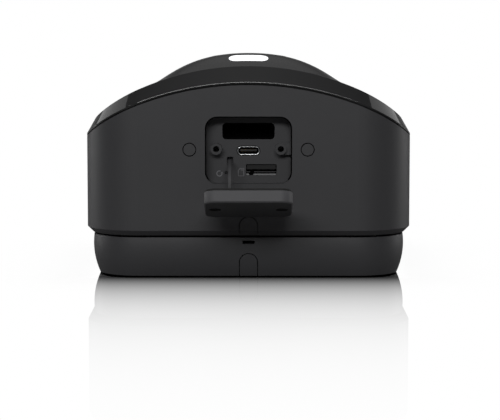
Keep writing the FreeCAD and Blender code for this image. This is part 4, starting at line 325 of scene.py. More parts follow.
metals = {
    # Turned and black anodised ring round the lens: fine turning lines.
    "metal_bezel": worked_metal("turned_black_anodised_ring", "#2a2b2e", 0.28, 0.15, 0.004),
    # Nickel-plated can of the motion sensor.
    "sensor_can": worked_metal("nickel_plated_can", "#b9b6ad", 0.25, 0.4, 0.003),
    # Zinc-plated steel screws.
    "steel": worked_metal("zinc_plated_steel", "#9a9ca0", 0.35, 0.2, 0.004),
    # Drawn and tinned steel of sockets and shields.
    "tinned_steel": worked_metal("tinned_drawn_steel", "#c4c6c8", 0.24, 0.25, 0.003, along="Y"),
    # Rolled aluminium sheet.
    "aluminium_plate": worked_metal("rolled_aluminium", "#c3c5c8", 0.35, 0.5, 0.006),
    # Gold flash over nickel on contacts.
    "gold_contact": worked_metal("gold_flashed_contact", "#d9b45a", 0.22, 0.2, 0.002, along="Y"),
    # Rolled copper strip of the antennas.
    "copper_strip": worked_metal("rolled_copper", "#c77b4e", 0.3, 0.3, 0.003, along="Y"),
}
finishes.update(metals)
print("metals:", len(metals))

# %% [markdown]
# ## Clear, milky and glossy pieces
# The front cover is hard-coated black plastic. To the eye it is a dark body under a clear layer
# that mirrors the light boxes, with the faintest waviness from the mould. The window over the
# status light is milky and lit from behind. The infrared windows look black with a trace of deep
# red, the dome is coated glass, and the motion lens is a milky sheet of small lenses.

# %% Hard-coated gloss
gloss_black, tree, shader = start("hard_coated_gloss_black", "#19191a", 0.5, Coat_Weight=1.0, Coat_Roughness=0.03,
                                  Specular_IOR_Level=0.1)
spot = add(tree, "ShaderNodeTexCoord")
# The mould's waves are 14 mm long, and the marks of wiping about a millimetre wide.
wave = add(tree, "ShaderNodeTexNoise", {"Vector": spot.outputs["Object"], "Scale": 1 / (14 * MM), "Detail": 1.0})
rub = add(tree, "ShaderNodeTexNoise", {"Vector": spot.outputs["Object"], "Scale": 1 / (1.2 * MM), "Detail": 4.0})
ripple = add(tree, "ShaderNodeBump", {"Height": wave.outputs["Fac"], "Distance": 0.02 * MM, "Strength": 0.5})
haze = add(tree, "ShaderNodeMapRange", {"Value": rub.outputs["Fac"], "To Min": 0.42, "To Max": 0.6})
tree.links.new(haze.outputs[0], shader.inputs["Roughness"])
tree.links.new(ripple.outputs[0], shader.inputs["Coat Normal"])
finishes["cover_plastic"] = gloss_black
print("gloss:", gloss_black.name)

# %% Milky window with the light on
milky, tree, shader = start("lit_milky_diffuser", "#f4f4f2", 0.35)
spot = add(tree, "ShaderNodeTexCoord")
cloud = add(tree, "ShaderNodeTexNoise", {"Vector": spot.outputs["Object"], "Scale": 1 / (2.5 * MM), "Detail": 2.0})
even = add(tree, "ShaderNodeMix", {FACTOR: cloud.outputs["Fac"], COLOUR_A: linear("#ffffff"),
                                   COLOUR_B: linear("#f6f8ff")}, data_type="RGBA")
tree.links.new(even.outputs[MIXED], shader.inputs["Emission Color"])
shader.inputs["Emission Strength"].default_value = 1.1
finishes["light_diffuser"] = milky
print("lit:", milky.name)


# %% Infrared window, glass and filter
SMEAR = 0.04


def clear(name, colour, roughness, ior, tint, streak_mm, **values):
    """A smooth finish under a thin uneven coating; what passes light has its transmission set."""
    material, tree, shader = start(name, colour, roughness, IOR=ior, **values)
    spot = add(tree, "ShaderNodeTexCoord")
    film = add(tree, "ShaderNodeTexNoise", {"Vector": spot.outputs["Object"], "Scale": 1 / (streak_mm * MM),
                                            "Detail": 2.0})
    shade = add(tree, "ShaderNodeMix", {FACTOR: film.outputs["Fac"], COLOUR_A: linear(colour),
                                        COLOUR_B: linear(tint)}, data_type="RGBA")
    tree.links.new(shade.outputs[MIXED], shader.inputs["Base Color"])
    smear = add(tree, "ShaderNodeMapRange", {"Value": film.outputs["Fac"], "To Min": roughness,
                                             "To Max": roughness + SMEAR})
    tree.links.new(smear.outputs[0], shader.inputs["Roughness"])
    return material


smooth_finishes = {
    "infrared_acrylic": clear("infrared_black_acrylic", "#120406", 0.05, 1.49, "#1c070a", 9.0, Coat_Weight=1.0),
    "optical_glass": clear("coated_optical_glass", "#f3f1fa", 0.0, 1.52, "#e4f0ea", 6.0, Transmission_Weight=1.0,
                           Specular_IOR_Level=0.16, Specular_Tint=linear("#b8a4ff")),
    "filter_glass": clear("infrared_cut_glass", "#b9dbe8", 0.02, 1.52, "#e3b9c4", 4.0, Transmission_Weight=1.0),
    "white_fresnel": clear("milky_sheet_of_lenses", "#e2e2de", 0.3, 1.54, "#ededea", 1.4, Subsurface_Weight=0.2),
}
finishes.update(smooth_finishes)

# The sheet over the motion sensor is pressed into many small lenses, side by side in cells.
tree = finishes["white_fresnel"].node_tree
shader = tree.nodes["Principled BSDF"]
spot = add(tree, "ShaderNodeTexCoord")
cells = add(tree, "ShaderNodeTexVoronoi", {"Vector": spot.outputs["Object"], "Scale": 1 / (1.1 * MM),
                                           "Randomness": 0.35})
pressed = add(tree, "ShaderNodeBump", {"Height": cells.outputs["Distance"], "Distance": 0.35 * MM}, invert=True)
tree.links.new(pressed.outputs[0], shader.inputs["Normal"])
print("clear and milky finishes:", len(smooth_finishes))

# %% [markdown]
# ## Boards and cloth
# A circuit board is green because of its solder mask, and copper tracks lie under it as slightly
# paler, raised lines. A grid of bricks, each a few millimetres long, gives lines that look
# routed. The cloth behind the sound slots is a plain weave, drawn from two crossed waves.

# %% Solder mask and woven cloth
board, tree, shader = start("green_solder_mask", "#14442a", 0.3, Coat_Weight=0.3)
spot = add(tree, "ShaderNodeTexCoord")
tracks = add(tree, "ShaderNodeTexBrick", {"Vector": spot.outputs["Object"], "Color1": linear("#11402a"),
                                          "Color2": linear("#16492f"), "Mortar": linear("#2c6b45"),
                                          "Scale": 1 / (6 * MM), "Mortar Size": 0.035, "Brick Width": 0.9,
                                          "Row Height": 0.22})
raised = add(tree, "ShaderNodeBump", {"Height": tracks.outputs["Fac"], "Distance": 0.03 * MM})
tree.links.new(tracks.outputs["Color"], shader.inputs["Base Color"])
tree.links.new(raised.outputs[0], shader.inputs["Normal"])
finishes["green_board"] = board

cloth, tree, shader = start("woven_acoustic_cloth", "#1a1a1b", 0.85)
spot = add(tree, "ShaderNodeTexCoord")
waves = [add(tree, "ShaderNodeTexWave", {"Vector": spot.outputs["Object"], "Scale": 1 / (2.0 * MM)},
             bands_direction=way) for way in ("X", "Z")]
weave = add(tree, "ShaderNodeMath", {0: waves[0].outputs["Fac"], 1: waves[1].outputs["Fac"]},
            operation="MAXIMUM")
threads = add(tree, "ShaderNodeMix", {FACTOR: weave.outputs[0], COLOUR_A: linear("#0b0b0b"),
                                      COLOUR_B: linear("#2e2e30")}, data_type="RGBA")
over = add(tree, "ShaderNodeBump", {"Height": weave.outputs[0], "Distance": 0.08 * MM})
tree.links.new(threads.outputs[MIXED], shader.inputs["Base Color"])
tree.links.new(over.outputs[0], shader.inputs["Normal"])
finishes["mesh_cloth"] = cloth
print("board and cloth:", board.name, cloth.name)

# %% Give every solid the finish of its slot
for node in nodes.values():
    for slot in node.material_slots:
        slot.material = finishes[slot.material.name.split(".")[0]]
print("finishes:", len(finishes))

# %% [markdown]
# ## What the port side shows
# The two screw plugs are moulded from the housing's own plastic, and a thin black ring of painted
# shade sets them off. The card socket and the reset button get black plastic, and the latch blasted
# black metal, as painted shade in the slot, the pinhole and the latch's slot. The pocket above the
# sockets gets a thin open box of a black that swallows all light, as painted shade: a plain dark
# colour on the bay's plastic would still shine.

# %% Plugs, card socket, latch and button
# The socket, latch and button are made near-black as painted shade in their slot and pinhole; the plugs keep the
# housing's plastic.
DRESSED_AND_SHADED = {"screw_plugs": "housing_plastic", "microsd_socket": "black_chip", "release_latch": "black_barrel",
           "reset_button": "black_chip"}
for name, finish in DRESSED_AND_SHADED.items():
    nodes[name].material_slots[0].material = finishes[finish]
    print(name, "takes", finishes[finish].name)

# %% Two helpers that turn faces into a piece on a body
# Points nearer than this, in metres, become one.
MERGE = 1e-6


def piece(name, mesh, body, finish, slot, *stands_for):
    """A finished mesh becomes an object that rides on a body and may stand for solids; its slot is not used."""
    mesh.name = name
    made = bpy.data.objects.new(name, mesh)
    bpy.context.scene.collection.objects.link(made)
    if not mesh.materials:
        mesh.materials.append(finish)
    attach(made, body)
    if stands_for:
        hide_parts(*stands_for)
    return made


def from_faces(build):
    """A mesh from a function that fills a bmesh, with its doubles merged and its faces outwards."""
    work = bmesh.new()
    build(work)
    bmesh.ops.remove_doubles(work, verts=work.verts, dist=MERGE)
    bmesh.ops.recalc_face_normals(work, faces=work.faces)
    mesh = bpy.data.meshes.new("work")
    work.to_mesh(mesh)
    work.free()
    return mesh


print("points nearer than", MERGE / MM, "mm are merged")


# %% Paint shade into the pocket and the insides of both sockets
# Each cup: width, height, corner radius, middle across, level, its mouth's Y, depth and wall, in mm.
SHADE_CUPS = {
    "pocket_painted_shade": (20.96, 6.56, 1.58, 0.0, 58.9, -46.0, 9.8, 0.25),
    "usb_c_painted_shade": (8.3, 2.62, 1.26, 0.0, 51.1, -46.15, 6.0, 0.08),
    "card_slot_painted_shade": (12.26, 3.35, 0.4, 5.15, 43.88, -45.96, 1.75, 0.1),
    "card_slot_apron_painted_shade": (12.1, 1.15, 0.1, 5.15, 41.78, -46.03, 0.04, 0.05),
}


def rounded(wide, high, corner, steps=6):
    """Points of a rounded rectangle about the origin, anticlockwise."""
    points = []
    for quarter, (sx, sz) in enumerate(((1, 1), (-1, 1), (-1, -1), (1, -1))):
        for step in range(steps + 1):
            turn = (quarter + step / steps) * math.pi / 2
            points.append((sx * (wide / 2 - corner) + corner * math.cos(turn),
                           sz * (high / 2 - corner) + corner * math.sin(turn)))
    return points


def fill_cup(work, wide, high, corner, centre, level, mouth, deep, wall):
    """Two nested cups joined at their mouths."""
    rings = []
    for inset, depth in ((0.0, 0.0), (0.0, deep), (wall, deep - wall), (wall, 0.0)):
        outline = rounded(wide - 2 * inset, high - 2 * inset, corner - inset)
        y = (mouth + depth) * MM
        rings.append([work.verts.new(((centre + x) * MM, y, (level + z) * MM)) for x, z in outline])
    for first, second in ((0, 1), (2, 3), (3, 0)):
        for here in range(len(rings[0])):
            there = (here + 1) % len(rings[0])
            work.faces.new((rings[first][here], rings[first][there], rings[second][there], rings[second][here]))
    work.faces.new(rings[1])
    work.faces.new(rings[2])


# A black that swallows all light, laid as painted shade in the pocket, the sockets, the slot's mouth, the gaps,
# along the bay's wall and round the plugs.
shade_black = grained("painted_shade_black", "#030303", "#060606", 0.98, 0.25, 0.1, spread=0.02)
shade_black.node_tree.nodes["Principled BSDF"].inputs["Specular IOR Level"].default_value = 0.05
for name, shape in SHADE_CUPS.items():
    shade_cup = piece(name, from_faces(lambda work: fill_cup(work, *shape)), "camera", shade_black, "black_rubber")
    print(name, len(shade_cup.data.polygons), "faces")

# %% [markdown]
# ## Rims, ledges and edges
# What makes such a part look made, not drawn, is how its edges catch the light. The socket's
# steel mouth is coined to a low ridge, which shines broadly below and as a thin line above. The
# card sits behind a slider whose near-black colour is painted shade, a black band of painted shade
# runs along the bay's wall, and the ledge under the slot is painted paler as a highlight. The front
# cover ends in a polished edge, a tenth of a millimetre high, which draws a fine line along the
# whole seam. A bevel modifier couldn't tilt these faces by exact angles, so each is laid as rings
# of points.

# %% Helpers that join rings of points
def fill_rings(work, rings, loop=True, closed=True):
    """Faces between neighbouring rings. loop joins the last ring to the first, closed the ends of each."""
    made = [[work.verts.new([share * MM for share in point]) for point in ring] for ring in rings]
    for first, second in zip(made, made[1:] + made[:1] if loop else made[1:]):
        for here in range(len(first) if closed else len(first) - 1):
            there = (here + 1) % len(first)
            work.faces.new((first[here], first[there], second[there], second[here]))
    if not closed:
        ends = [[ring[0] for ring in made], [ring[-1] for ring in made]]
    else:
        ends = [] if loop else [made[0], made[-1]]
    for end in ends:
        work.faces.new(end)


def bay_mesh(rows, centre, loop=True):
    """A mesh of rounded rectangles: width, height, corner radius and Y of each, about a centre, in mm."""
    rings = [[(centre[0] + x, y, centre[1] + z) for x, z in rounded(wide, high, corner)]
             for wide, high, corner, y in rows]
    return from_faces(lambda work: fill_rings(work, rings, loop))


print("a rounded rectangle has", len(rounded(2, 1, 0.2)), "points")

# %% Coin the mouth of the USB-C shell
USB_CENTRE = (0.0, 51.05)
USB_RIM = [(9.0, 3.34, 1.6, -46.1), (8.98, 3.32, 1.6, -46.4), (8.8, 3.14, 1.52, -46.44), (8.24, 2.58, 1.24, -46.33),
           (8.24, 2.58, 1.24, -46.1)]
# A black ring round the shell is painted shade of the gap between the shell and the plastic.
USB_GAP_SHADE = [(9.5, 3.8, 1.85, -46.01), (9.5, 3.8, 1.85, -46.04), (8.9, 3.24, 1.56, -46.04), (8.9, 3.24, 1.56, -46.01)]
usb_rim, usb_gap_shade = bay_mesh(USB_RIM, USB_CENTRE), bay_mesh(USB_GAP_SHADE, USB_CENTRE)
piece("usb_c_rim", usb_rim, "camera", finishes["tinned_steel"], "tinned_steel")
piece("usb_c_gap_shade", usb_gap_shade, "camera", shade_black, "black_rubber")
print("rim and gap:", len(usb_rim.polygons), len(usb_gap_shade.polygons), "faces")

# %% Hang the slider in the card slot
CARD_CENTRE = (5.15, 44.45)
SLIDER = [(11.6, 1.8, 0.3, -44.5), (11.9, 2.1, 0.4, -44.7), (11.9, 2.1, 0.4, -45.4), (11.6, 1.8, 0.3, -45.55)]
slider = bay_mesh(SLIDER, CARD_CENTRE, loop=False)
# The slider's near-black colour is painted shade inside the card slot.
slider_shade_finish = grained("slot_shade_slider", "#0d0d0e", "#121213", 0.5, 0.2, 0.01)
piece("card_slider", slider, "camera", slider_shade_finish, "black_chip")

# The ledge under the slot leads the card in, and a small notch splits it: its section as Y and Z,
# and where each of its two bars begins and ends.
LEDGE = ((-45.98, 41.12), (-46.25, 41.2), (-46.02, 41.85), (-45.98, 41.85))
LEDGE_BARS = ((-0.8, 0.25), (1.95, 11.1))


def fill_ledge(work):
    """Bars of one section, left and right of the notch."""
    for bar in LEDGE_BARS:
        fill_rings(work, [[(x, y, z) for y, z in LEDGE] for x in bar], loop=False)


ledge = from_faces(fill_ledge)
# A paler colour than the housing's is a painted highlight on the ledge's bevel, which faces up towards the light.
ledge_highlight_finish = grained("ledge_painted_highlight", "#454547", "#4d4d4f", 0.45, 0.2, 0.01)
piece("card_ledge", ledge, "camera", ledge_highlight_finish, "housing_plastic")
print("slider and ledge:", len(slider.polygons), len(ledge.polygons), "faces")

# %% Paint shade along the bay's wall
# The bay's width, height, corner radius and level, in mm.
BAY = (34.8, 27.0, 4.9, 51.6)
# The band ends at a share of the lower corners' radius, and swells from there to its full thickness.
BAND_END = 0.25
BAND_THIN, BAND_SWELL = 0.05, 0.38
ON_THE_WALL = 0.9995
# The band's section: whether a point is on its inner face, and its Y.
BAND_SECTION = ((False, -46.3), (False, -51.9), (True, -51.8), (True, -46.3))


def fill_bay_wall_shade(work, steps=8):
    """A black band of painted shade along the wall's sides and top that thins out in the lower corners."""
    wide, high, corner, level = BAY
    walk = rounded(wide, high, corner, steps)
    # The walk starts at the right and runs over the top, so the band starts in its last quarter.
    start_at = 3 * (steps + 1)
    rings = [[] for _ in BAND_SECTION]
    for x, z in walk[start_at:] + walk[:start_at]:
        if z <= -high / 2 + BAND_END * corner:
            continue
        low_share = min(1.0, max(0.0, (z + high / 2 - BAND_END * corner) / ((1 - BAND_END) * corner)))
        thick = BAND_THIN + BAND_SWELL * low_share
        for ring, (inner, y) in zip(rings, BAND_SECTION):
            narrow, lower = (((size / 2 - thick) / (size / 2) for size in (wide, high)) if inner
                             else (ON_THE_WALL, ON_THE_WALL))
            ring.append((x * narrow, y, level + z * lower))
    fill_rings(work, rings, closed=False)


bay_wall_shade = from_faces(fill_bay_wall_shade)
piece("bay_wall_shade", bay_wall_shade, "camera", shade_black, "black_rubber")
print("bay gasket:", len(bay_wall_shade.polygons), "faces")

# %% Polish the edge of the front cover
# The cover's outline, its lip's level in the middle of the port side, and the arch that the lip
# follows: its radius and how far its axis tilts. All in mm.
COVER_EDGE = {"wide": 132.0, "deep": 104.0, "corner": 22.0, "top": 78.75, "radius": 125.0,
              "tilt": math.radians(7.7)}
# The strip's section: how far out and how far up each of its corners lies.
EDGE_SECTION = ((0.014, -0.05), (-0.014, 0.05), (-0.3, 0.04), (-0.3, -0.05))
LONGEST_STEP = 2.5


def edge_walk(steps=10):
    """Points along the cover's outline, with the outward direction at each."""
    wide, deep, corner = (COVER_EDGE[word] for word in ("wide", "deep", "corner"))
    corners = rounded(wide, deep, corner, steps)
    for here, (x, y) in enumerate(corners):
        quarter, share = divmod(here, steps + 1)
        turn = (quarter + share / steps) * math.pi / 2
        ahead = corners[(here + 1) % len(corners)]
        length = math.hypot(ahead[0] - x, ahead[1] - y)
        parts = max(1, math.ceil(length / LONGEST_STEP)) if share == steps else 1
        for part in range(parts):
            blend = part / parts
            yield (x + (ahead[0] - x) * blend, y + (ahead[1] - y) * blend, math.cos(turn), math.sin(turn))


def edge_level(x, y):
    """Height of the cover's lip above a point of the outline."""
    fall = COVER_EDGE["radius"] - math.sqrt(COVER_EDGE["radius"] ** 2 - x * x)
    inwards = y + COVER_EDGE["deep"] / 2
    return COVER_EDGE["top"] - math.tan(COVER_EDGE["tilt"]) * inwards - fall / math.cos(COVER_EDGE["tilt"])


def fill_cover_edge(work):
    """A strip whose outer face leans back by 16 degrees, from the lip to the leaning band."""
    fill_rings(work, [[(x + out * nx, y + out * ny, edge_level(x, y) + up) for x, y, nx, ny in edge_walk()]
                      for out, up in EDGE_SECTION])


polished_edge, tree, shader = start("polished_cover_edge", "#19191a", 0.3, Coat_Weight=1.0, Coat_Roughness=0.25)
spot = add(tree, "ShaderNodeTexCoord")
strokes = add(tree, "ShaderNodeTexNoise", {"Vector": spot.outputs["Object"], "Scale": 1 / (0.5 * MM)})
shine = add(tree, "ShaderNodeMapRange", {"Value": strokes.outputs["Fac"], "To Min": 0.2, "To Max": 0.35})
tree.links.new(shine.outputs[0], shader.inputs["Roughness"])
cover_edge = from_faces(fill_cover_edge)
piece("cover_edge", cover_edge, "camera", polished_edge, "cover_plastic")
print("cover edge:", len(cover_edge.polygons), "faces")

# %% [markdown]
# ## Signs beside the pinhole and the card slot
# Two small generic signs are printed on the bay's floor: an arrow that turns round, for reset,
# and the outline of a card. They are ink, far thinner than a sheet of paper, so each is a flat
# outline with a few hundredths of a millimetre of body, in a grey that is a little paler than
# the plastic.

# %% Print the two signs
BAY_FLOOR = -46.0
INK, UNDER_FLOOR = 0.04, 0.02
RESET_CENTRE = (-11.7, 41.85)
CARD_SIGN_CENTRE = (-3.0, 42.4)


def raise_outline(work, points, centre):
    """A closed outline of x and z, in mm about a centre, as a thin plate on the bay's floor."""
    plates = []
    for y in (BAY_FLOOR + UNDER_FLOOR, BAY_FLOOR - INK):
        plates.append([work.verts.new(((centre[0] + x) * MM, y * MM, (centre[1] + z) * MM)) for x, z in points])
    for here in range(len(points)):
        there = (here + 1) % len(points)
        work.faces.new((plates[0][here], plates[0][there], plates[1][there], plates[1][here]))
    for plate in plates:
        work.faces.new(plate)


def stroke(route, width, closed=False):
    """The outline of a pen stroke of one width along a route."""
    left, right = [], []
    count = len(route)
    for here, (x, z) in enumerate(route):
        ahead = route[(here + 1) % count] if closed or here < count - 1 else route[here]
        back = route[here - 1] if closed or here else route[here]
        dx, dz = ahead[0] - back[0], ahead[1] - back[1]
        long = math.hypot(dx, dz)
        left.append((x - dz / long * width / 2, z + dx / long * width / 2))
        right.append((x + dz / long * width / 2, z - dx / long * width / 2))
    return left, right


def fill_reset(work, radius=1.05, pen=0.4, steps=24):
    """Three quarters of a ring and an arrow head at its end."""
    turns = [math.radians(65 + 285 * step / steps) for step in range(steps + 1)]
    left, right = stroke([(radius * math.cos(turn), radius * math.sin(turn)) for turn in turns], pen)
    for here in range(steps):
        raise_outline(work, [left[here], left[here + 1], right[here + 1], right[here]], RESET_CENTRE)
    raise_outline(work, [(1.5, -0.05), (0.55, 0.0), (1.05, 0.75)], RESET_CENTRE)


def fill_card(work, pen=0.3):
    """The outline of a small card with one cut corner, and its two contacts."""
    route = [(-1.1, -1.5), (1.1, -1.5), (1.1, 1.5), (-0.3, 1.5), (-1.1, 0.7)]
    left, right = stroke(route, pen, closed=True)
    for here in range(len(route)):
        there = (here + 1) % len(route)
        raise_outline(work, [left[here], left[there], right[there], right[here]], CARD_SIGN_CENTRE)
    for x in (0.1, 0.6):
        contact = [(x - 0.1, 0.6), (x + 0.1, 0.6), (x + 0.1, 1.15), (x - 0.1, 1.15)]
        raise_outline(work, contact, CARD_SIGN_CENTRE)


ink = grained("grey_print", "#6f6f72", "#7b7b7e", 0.6, 0.12, 0.005)
for name, fill in (("reset_sign", fill_reset), ("card_sign", fill_card)):
    sign = piece(name, from_faces(fill), "camera", ink, "housing_plastic")
    print(name, len(sign.data.polygons), "faces")

# %% [markdown]
# ## The strap
# The cover hangs on a soft band that comes out of its slot, bends down and goes over the cover's
# edge. It follows a path, so a small node tree sweeps a rounded section along a curve. The band runs
# from the anchor behind the bay to the cover and keeps this one shape.

# %% Sweep the strap along its route
def new_tree(name, takes, numbers, gives):
    """A node tree that is given a geometry, some numbers and a finish, and gives a geometry back."""
    tree = bpy.data.node_groups.new(name, "GeometryNodeTree")
    given = [(takes, "Geometry"), *((number, "Float") for number in numbers), ("Finish", "Material")]
    for word, kind in given:
        tree.interface.new_socket(word, in_out="INPUT", socket_type="NodeSocket" + kind)
    tree.interface.new_socket(gives, in_out="OUTPUT", socket_type="NodeSocketGeometry")
    return tree, add(tree, "NodeGroupInput")


def baked(source, tree, **values):
    """The plain, smoothly shaded mesh that a node tree makes of an object, which is then removed."""
    bpy.context.scene.collection.objects.link(source)
    modifier = source.modifiers.new("make", "NODES")
    modifier.node_group = tree
    for item in tree.interface.items_tree:
        if item.in_out == "INPUT" and item.name in values:
            modifier[item.identifier] = values[item.name]
    bpy.context.view_layer.update()
    view = bpy.context.evaluated_depsgraph_get()
    mesh = bpy.data.meshes.new_from_object(source.evaluated_get(view))
    bpy.data.objects.remove(source)
    for face in mesh.polygons:
        face.use_smooth = True
    return mesh


# All in mm. The route runs as Y and Z from the slot, out and down, over the cover's edge to its lug.
STRAP = {"wide": 1.6, "thick": 0.7, "round": 0.33}
STRAP_ROUTE = [(-43.9, 47.2), (-46.0, 47.2), (-53.0, 46.9), (-58.8, 43.4), (-61.3, 37.4), (-60.85, 29.6),
               (-65.88, 30.95)]
STRAP_X = -7.4

sweep, given = new_tree("swept_band", "Route", ("Width", "Thickness", "Rounding"), "Band")
section = add(sweep, "GeometryNodeCurvePrimitiveQuadrilateral",
              {"Width": given.outputs["Width"], "Height": given.outputs["Thickness"]})
section = add(sweep, "GeometryNodeFilletCurve", {0: section.outputs[0], "Radius": given.outputs["Rounding"],
                                                 "Count": 4}, mode="POLY")
even = add(sweep, "GeometryNodeResampleCurve", {0: given.outputs["Route"], "Count": 72})
swept = add(sweep, "GeometryNodeCurveToMesh", {0: even.outputs[0], 1: section.outputs[0], "Fill Caps": True})
real = add(sweep, "GeometryNodeRealizeInstances", {0: swept.outputs[0]})
dressed = add(sweep, "GeometryNodeSetMaterial", {0: real.outputs[0], "Material": given.outputs["Finish"]})
add(sweep, "NodeGroupOutput", {0: dressed.outputs[0]})

route = bpy.data.curves.new("strap_route", "CURVE")
route.dimensions = "3D"
line = route.splines.new("BEZIER")
line.bezier_points.add(len(STRAP_ROUTE) - 1)
for point, (y, z) in zip(line.bezier_points, STRAP_ROUTE):
    point.co = (STRAP_X * MM, y * MM, z * MM)
    point.handle_left_type = point.handle_right_type = "AUTO"
line.resolution_u = 16
band = baked(bpy.data.objects.new("strap_guide", route), sweep, Width=STRAP["wide"] * MM,
             Thickness=STRAP["thick"] * MM, Rounding=STRAP["round"] * MM, Finish=finishes["grey_rubber"])
strap = bpy.data.objects.new("hanging_strap", band)
bpy.context.scene.collection.objects.link(strap)
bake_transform(strap)
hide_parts("port_cover_strap")
lows = [min(v.co[axis] for v in band.vertices) / MM for axis in range(3)]
highs = [max(v.co[axis] for v in band.vertices) / MM for axis in range(3)]
print("strap in mm:", [round(low, 2) for low in lows], [round(high, 2) for high in highs])

# %% [markdown]
# ## Rings round the plugs
# Both plugs are set off by a thin black ring, painted shade where the gap round each lies. Two like
# rings are a repeat, so a node tree draws one ring and sets it on each point that it is given.

# %% Ring both plugs
# All in mm: where the plugs lie, and the radius of a ring and of its cord.
PLUG_ACROSS, PLUG_FACE, PLUG_LEVEL = 23.6, -51.98, 51.9
RING_RADIUS, CORD_RADIUS = 2.58, 0.19

repeat, given = new_tree("rings_on_points", "Places", ("Radius", "Cord"), "Rings")
circle = add(repeat, "GeometryNodeCurvePrimitiveCircle", {"Resolution": 48, "Radius": given.outputs["Radius"]})
section = add(repeat, "GeometryNodeCurvePrimitiveCircle", {"Resolution": 10, "Radius": given.outputs["Cord"]})
ring = add(repeat, "GeometryNodeCurveToMesh", {0: circle.outputs[0], 1: section.outputs[0]})
stood = add(repeat, "GeometryNodeTransform", {"Geometry": ring.outputs[0], "Rotation": (math.pi / 2, 0, 0)})
placed = add(repeat, "GeometryNodeInstanceOnPoints", {"Points": given.outputs["Places"],
                                                      "Instance": stood.outputs[0]})
real = add(repeat, "GeometryNodeRealizeInstances", {0: placed.outputs[0]})
dressed = add(repeat, "GeometryNodeSetMaterial", {0: real.outputs[0], "Material": given.outputs["Finish"]})
add(repeat, "NodeGroupOutput", {0: dressed.outputs[0]})

places = bpy.data.meshes.new("plug_places")
places.from_pydata([(side * PLUG_ACROSS * MM, PLUG_FACE * MM, PLUG_LEVEL * MM) for side in (-1, 1)], [], [])
rings = baked(bpy.data.objects.new("plug_places", places), repeat, Radius=RING_RADIUS * MM,
              Cord=CORD_RADIUS * MM, Finish=shade_black)
piece("plug_ring_shade", rings, "camera", shade_black, "black_rubber")
print("plug rings:", len(rings.polygons), "faces")

# %% [markdown]
# ## The glossy cover
# The real cover is moulded in a polished tool. A solid comes as flat triangles, and gloss gives
# each of them its own piece of the studio, so that a light's border looks stepped. In a copy of
# the cover the loose triangles are merged and the shading runs on from one to the next, so that
# only real edges stay sharp. More triangles would round the steps too, but at many times the size.

# %% Smooth the glossy cover
SMOOTH_BELOW = math.radians(25)


def reworked(name, change):
    """The mesh of a copy of a solid, merged and then changed, without the solid's finish."""
    work = bmesh.new()
    work.from_mesh(nodes[name].data)
    bmesh.ops.remove_doubles(work, verts=work.verts, dist=MERGE)
    change(work)
    mesh = bpy.data.meshes.new(name)
    work.to_mesh(mesh)
    work.free()
    mesh.materials.clear()
    return mesh


def shade_smoothly(work):
    """Shading that runs on over every edge that turns by less than SMOOTH_BELOW."""
    for face in work.faces:
        face.smooth = True
    for edge in work.edges:
        edge.smooth = len(edge.link_faces) == 2 and edge.calc_face_angle() < SMOOTH_BELOW


cover_mesh = reworked("front_cover", shade_smoothly)
piece("glossy_front_cover", cover_mesh, "camera", gloss_black, "cover_plastic", "front_cover")
print("glossy cover:", len(cover_mesh.polygons), "faces,", sum(edge.use_edge_sharp for edge in cover_mesh.edges),
      "sharp edges")

# %% [markdown]
# ## Soft pieces and the port cover
# Rubber never has a sharp edge. Each rubber solid is copied, its loose triangles are merged into
# whole faces again, and its sharp edges are rounded. The port cover's copy is coloured by which way
# its faces look: those that look outwards, down and away from the lights, get a darker colour as
# painted shade, the rest a paler one as painted highlight, and the walls of its screw holes get
# black rubber as painted shade.

# %% Seal, gasket and feet
ROUND_ABOVE = math.radians(30)
FLAT_BELOW = math.radians(0.3)


def softened(name, radius):
    """A copy of a solid with whole faces, whose sharp edges are rounded by a radius in mm."""
    def round_edges(work):
        bmesh.ops.dissolve_limit(work, angle_limit=FLAT_BELOW, verts=work.verts, edges=work.edges)
        sharp = [edge for edge in work.edges
                 if len(edge.link_faces) == 2 and edge.calc_face_angle() > ROUND_ABOVE]
        bmesh.ops.bevel(work, geom=sharp, offset=radius * MM, segments=2, profile=0.5, affect="EDGES",
                        clamp_overlap=True)

    return reworked(name, round_edges)


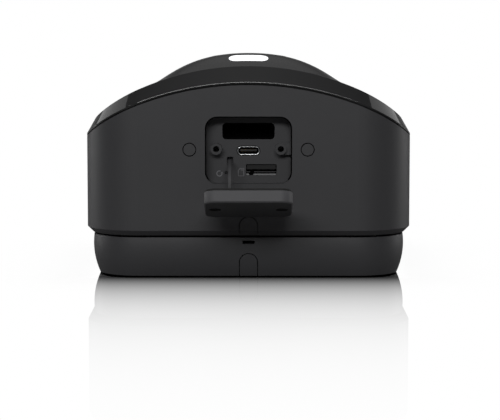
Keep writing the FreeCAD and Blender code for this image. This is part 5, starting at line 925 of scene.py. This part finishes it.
SOFT = {"front_seal": ("camera", 0.12), "port_cover_gasket": ("cover", 0.15), "foot_pads": ("base", 0.15)}
for name, (body, radius) in SOFT.items():
    finish = "grey_rubber" if name == "foot_pads" else "black_rubber"
    soft = piece("soft_" + name, softened(name, radius), body, finishes[finish], finish, name)
    print(soft.name, len(soft.data.polygons), "faces")

# %% Paint light and shade on the port cover
LID_ROUNDING = 0.55
LID_TURN = math.radians(71.2)
outwards = Vector((0, -math.cos(LID_TURN), -math.sin(LID_TURN)))
# Where each screw hole's axis meets the cover's outer face, and which faces near it are the hole's.
SCREW_SEATS = [Vector((side * 12.95, -75.04, 30.11)) * MM for side in (-1, 1)]
HOLE_RADIUS = 2.5 * MM
HOLE_STARTS = -0.05 * MM
# How directly a face must look outwards, down and away from the lights, to get the painted shade.
PAINTED_SHADE_SHARE = 0.93


def in_a_hole(point):
    """Whether a point lies behind the outer face and close to the axis of a screw hole."""
    for seat in SCREW_SEATS:
        offset = point - seat
        along = offset.dot(outwards)
        if (offset - along * outwards).length < HOLE_RADIUS and along < HOLE_STARTS:
            return True
    return False


lid = softened("port_cover", LID_ROUNDING)
PAINTED_LIT, PAINTED_SHADE, PAINTED_HOLE_SHADE = range(3)
# A paler colour is painted highlight on the faces that look up to the lights, a darker one painted shade on those
# that look down, and black rubber painted shade in the screw holes.
lid.materials.append(grained("port_cover_body", "#4c4c4e", "#545457", 0.62, 0.35, 0.015))
lid.materials.append(grained("port_cover_painted_shade", "#303032", "#353537", 0.5, 0.22, 0.012))
lid.materials.append(finishes["black_rubber"])
for face in lid.polygons:
    looks_out = face.normal.dot(outwards) > PAINTED_SHADE_SHARE
    face.material_index = PAINTED_HOLE_SHADE if in_a_hole(face.center) else PAINTED_SHADE if looks_out else PAINTED_LIT
piece("port_cover_painted_light", lid, "cover", finishes["grey_rubber"], "grey_rubber", "port_cover")
for kind, word in ((PAINTED_LIT, "body"), (PAINTED_SHADE, "skin"), (PAINTED_HOLE_SHADE, "holes")):
    print("port cover,", word + ":", sum(face.material_index == kind for face in lid.polygons), "faces")
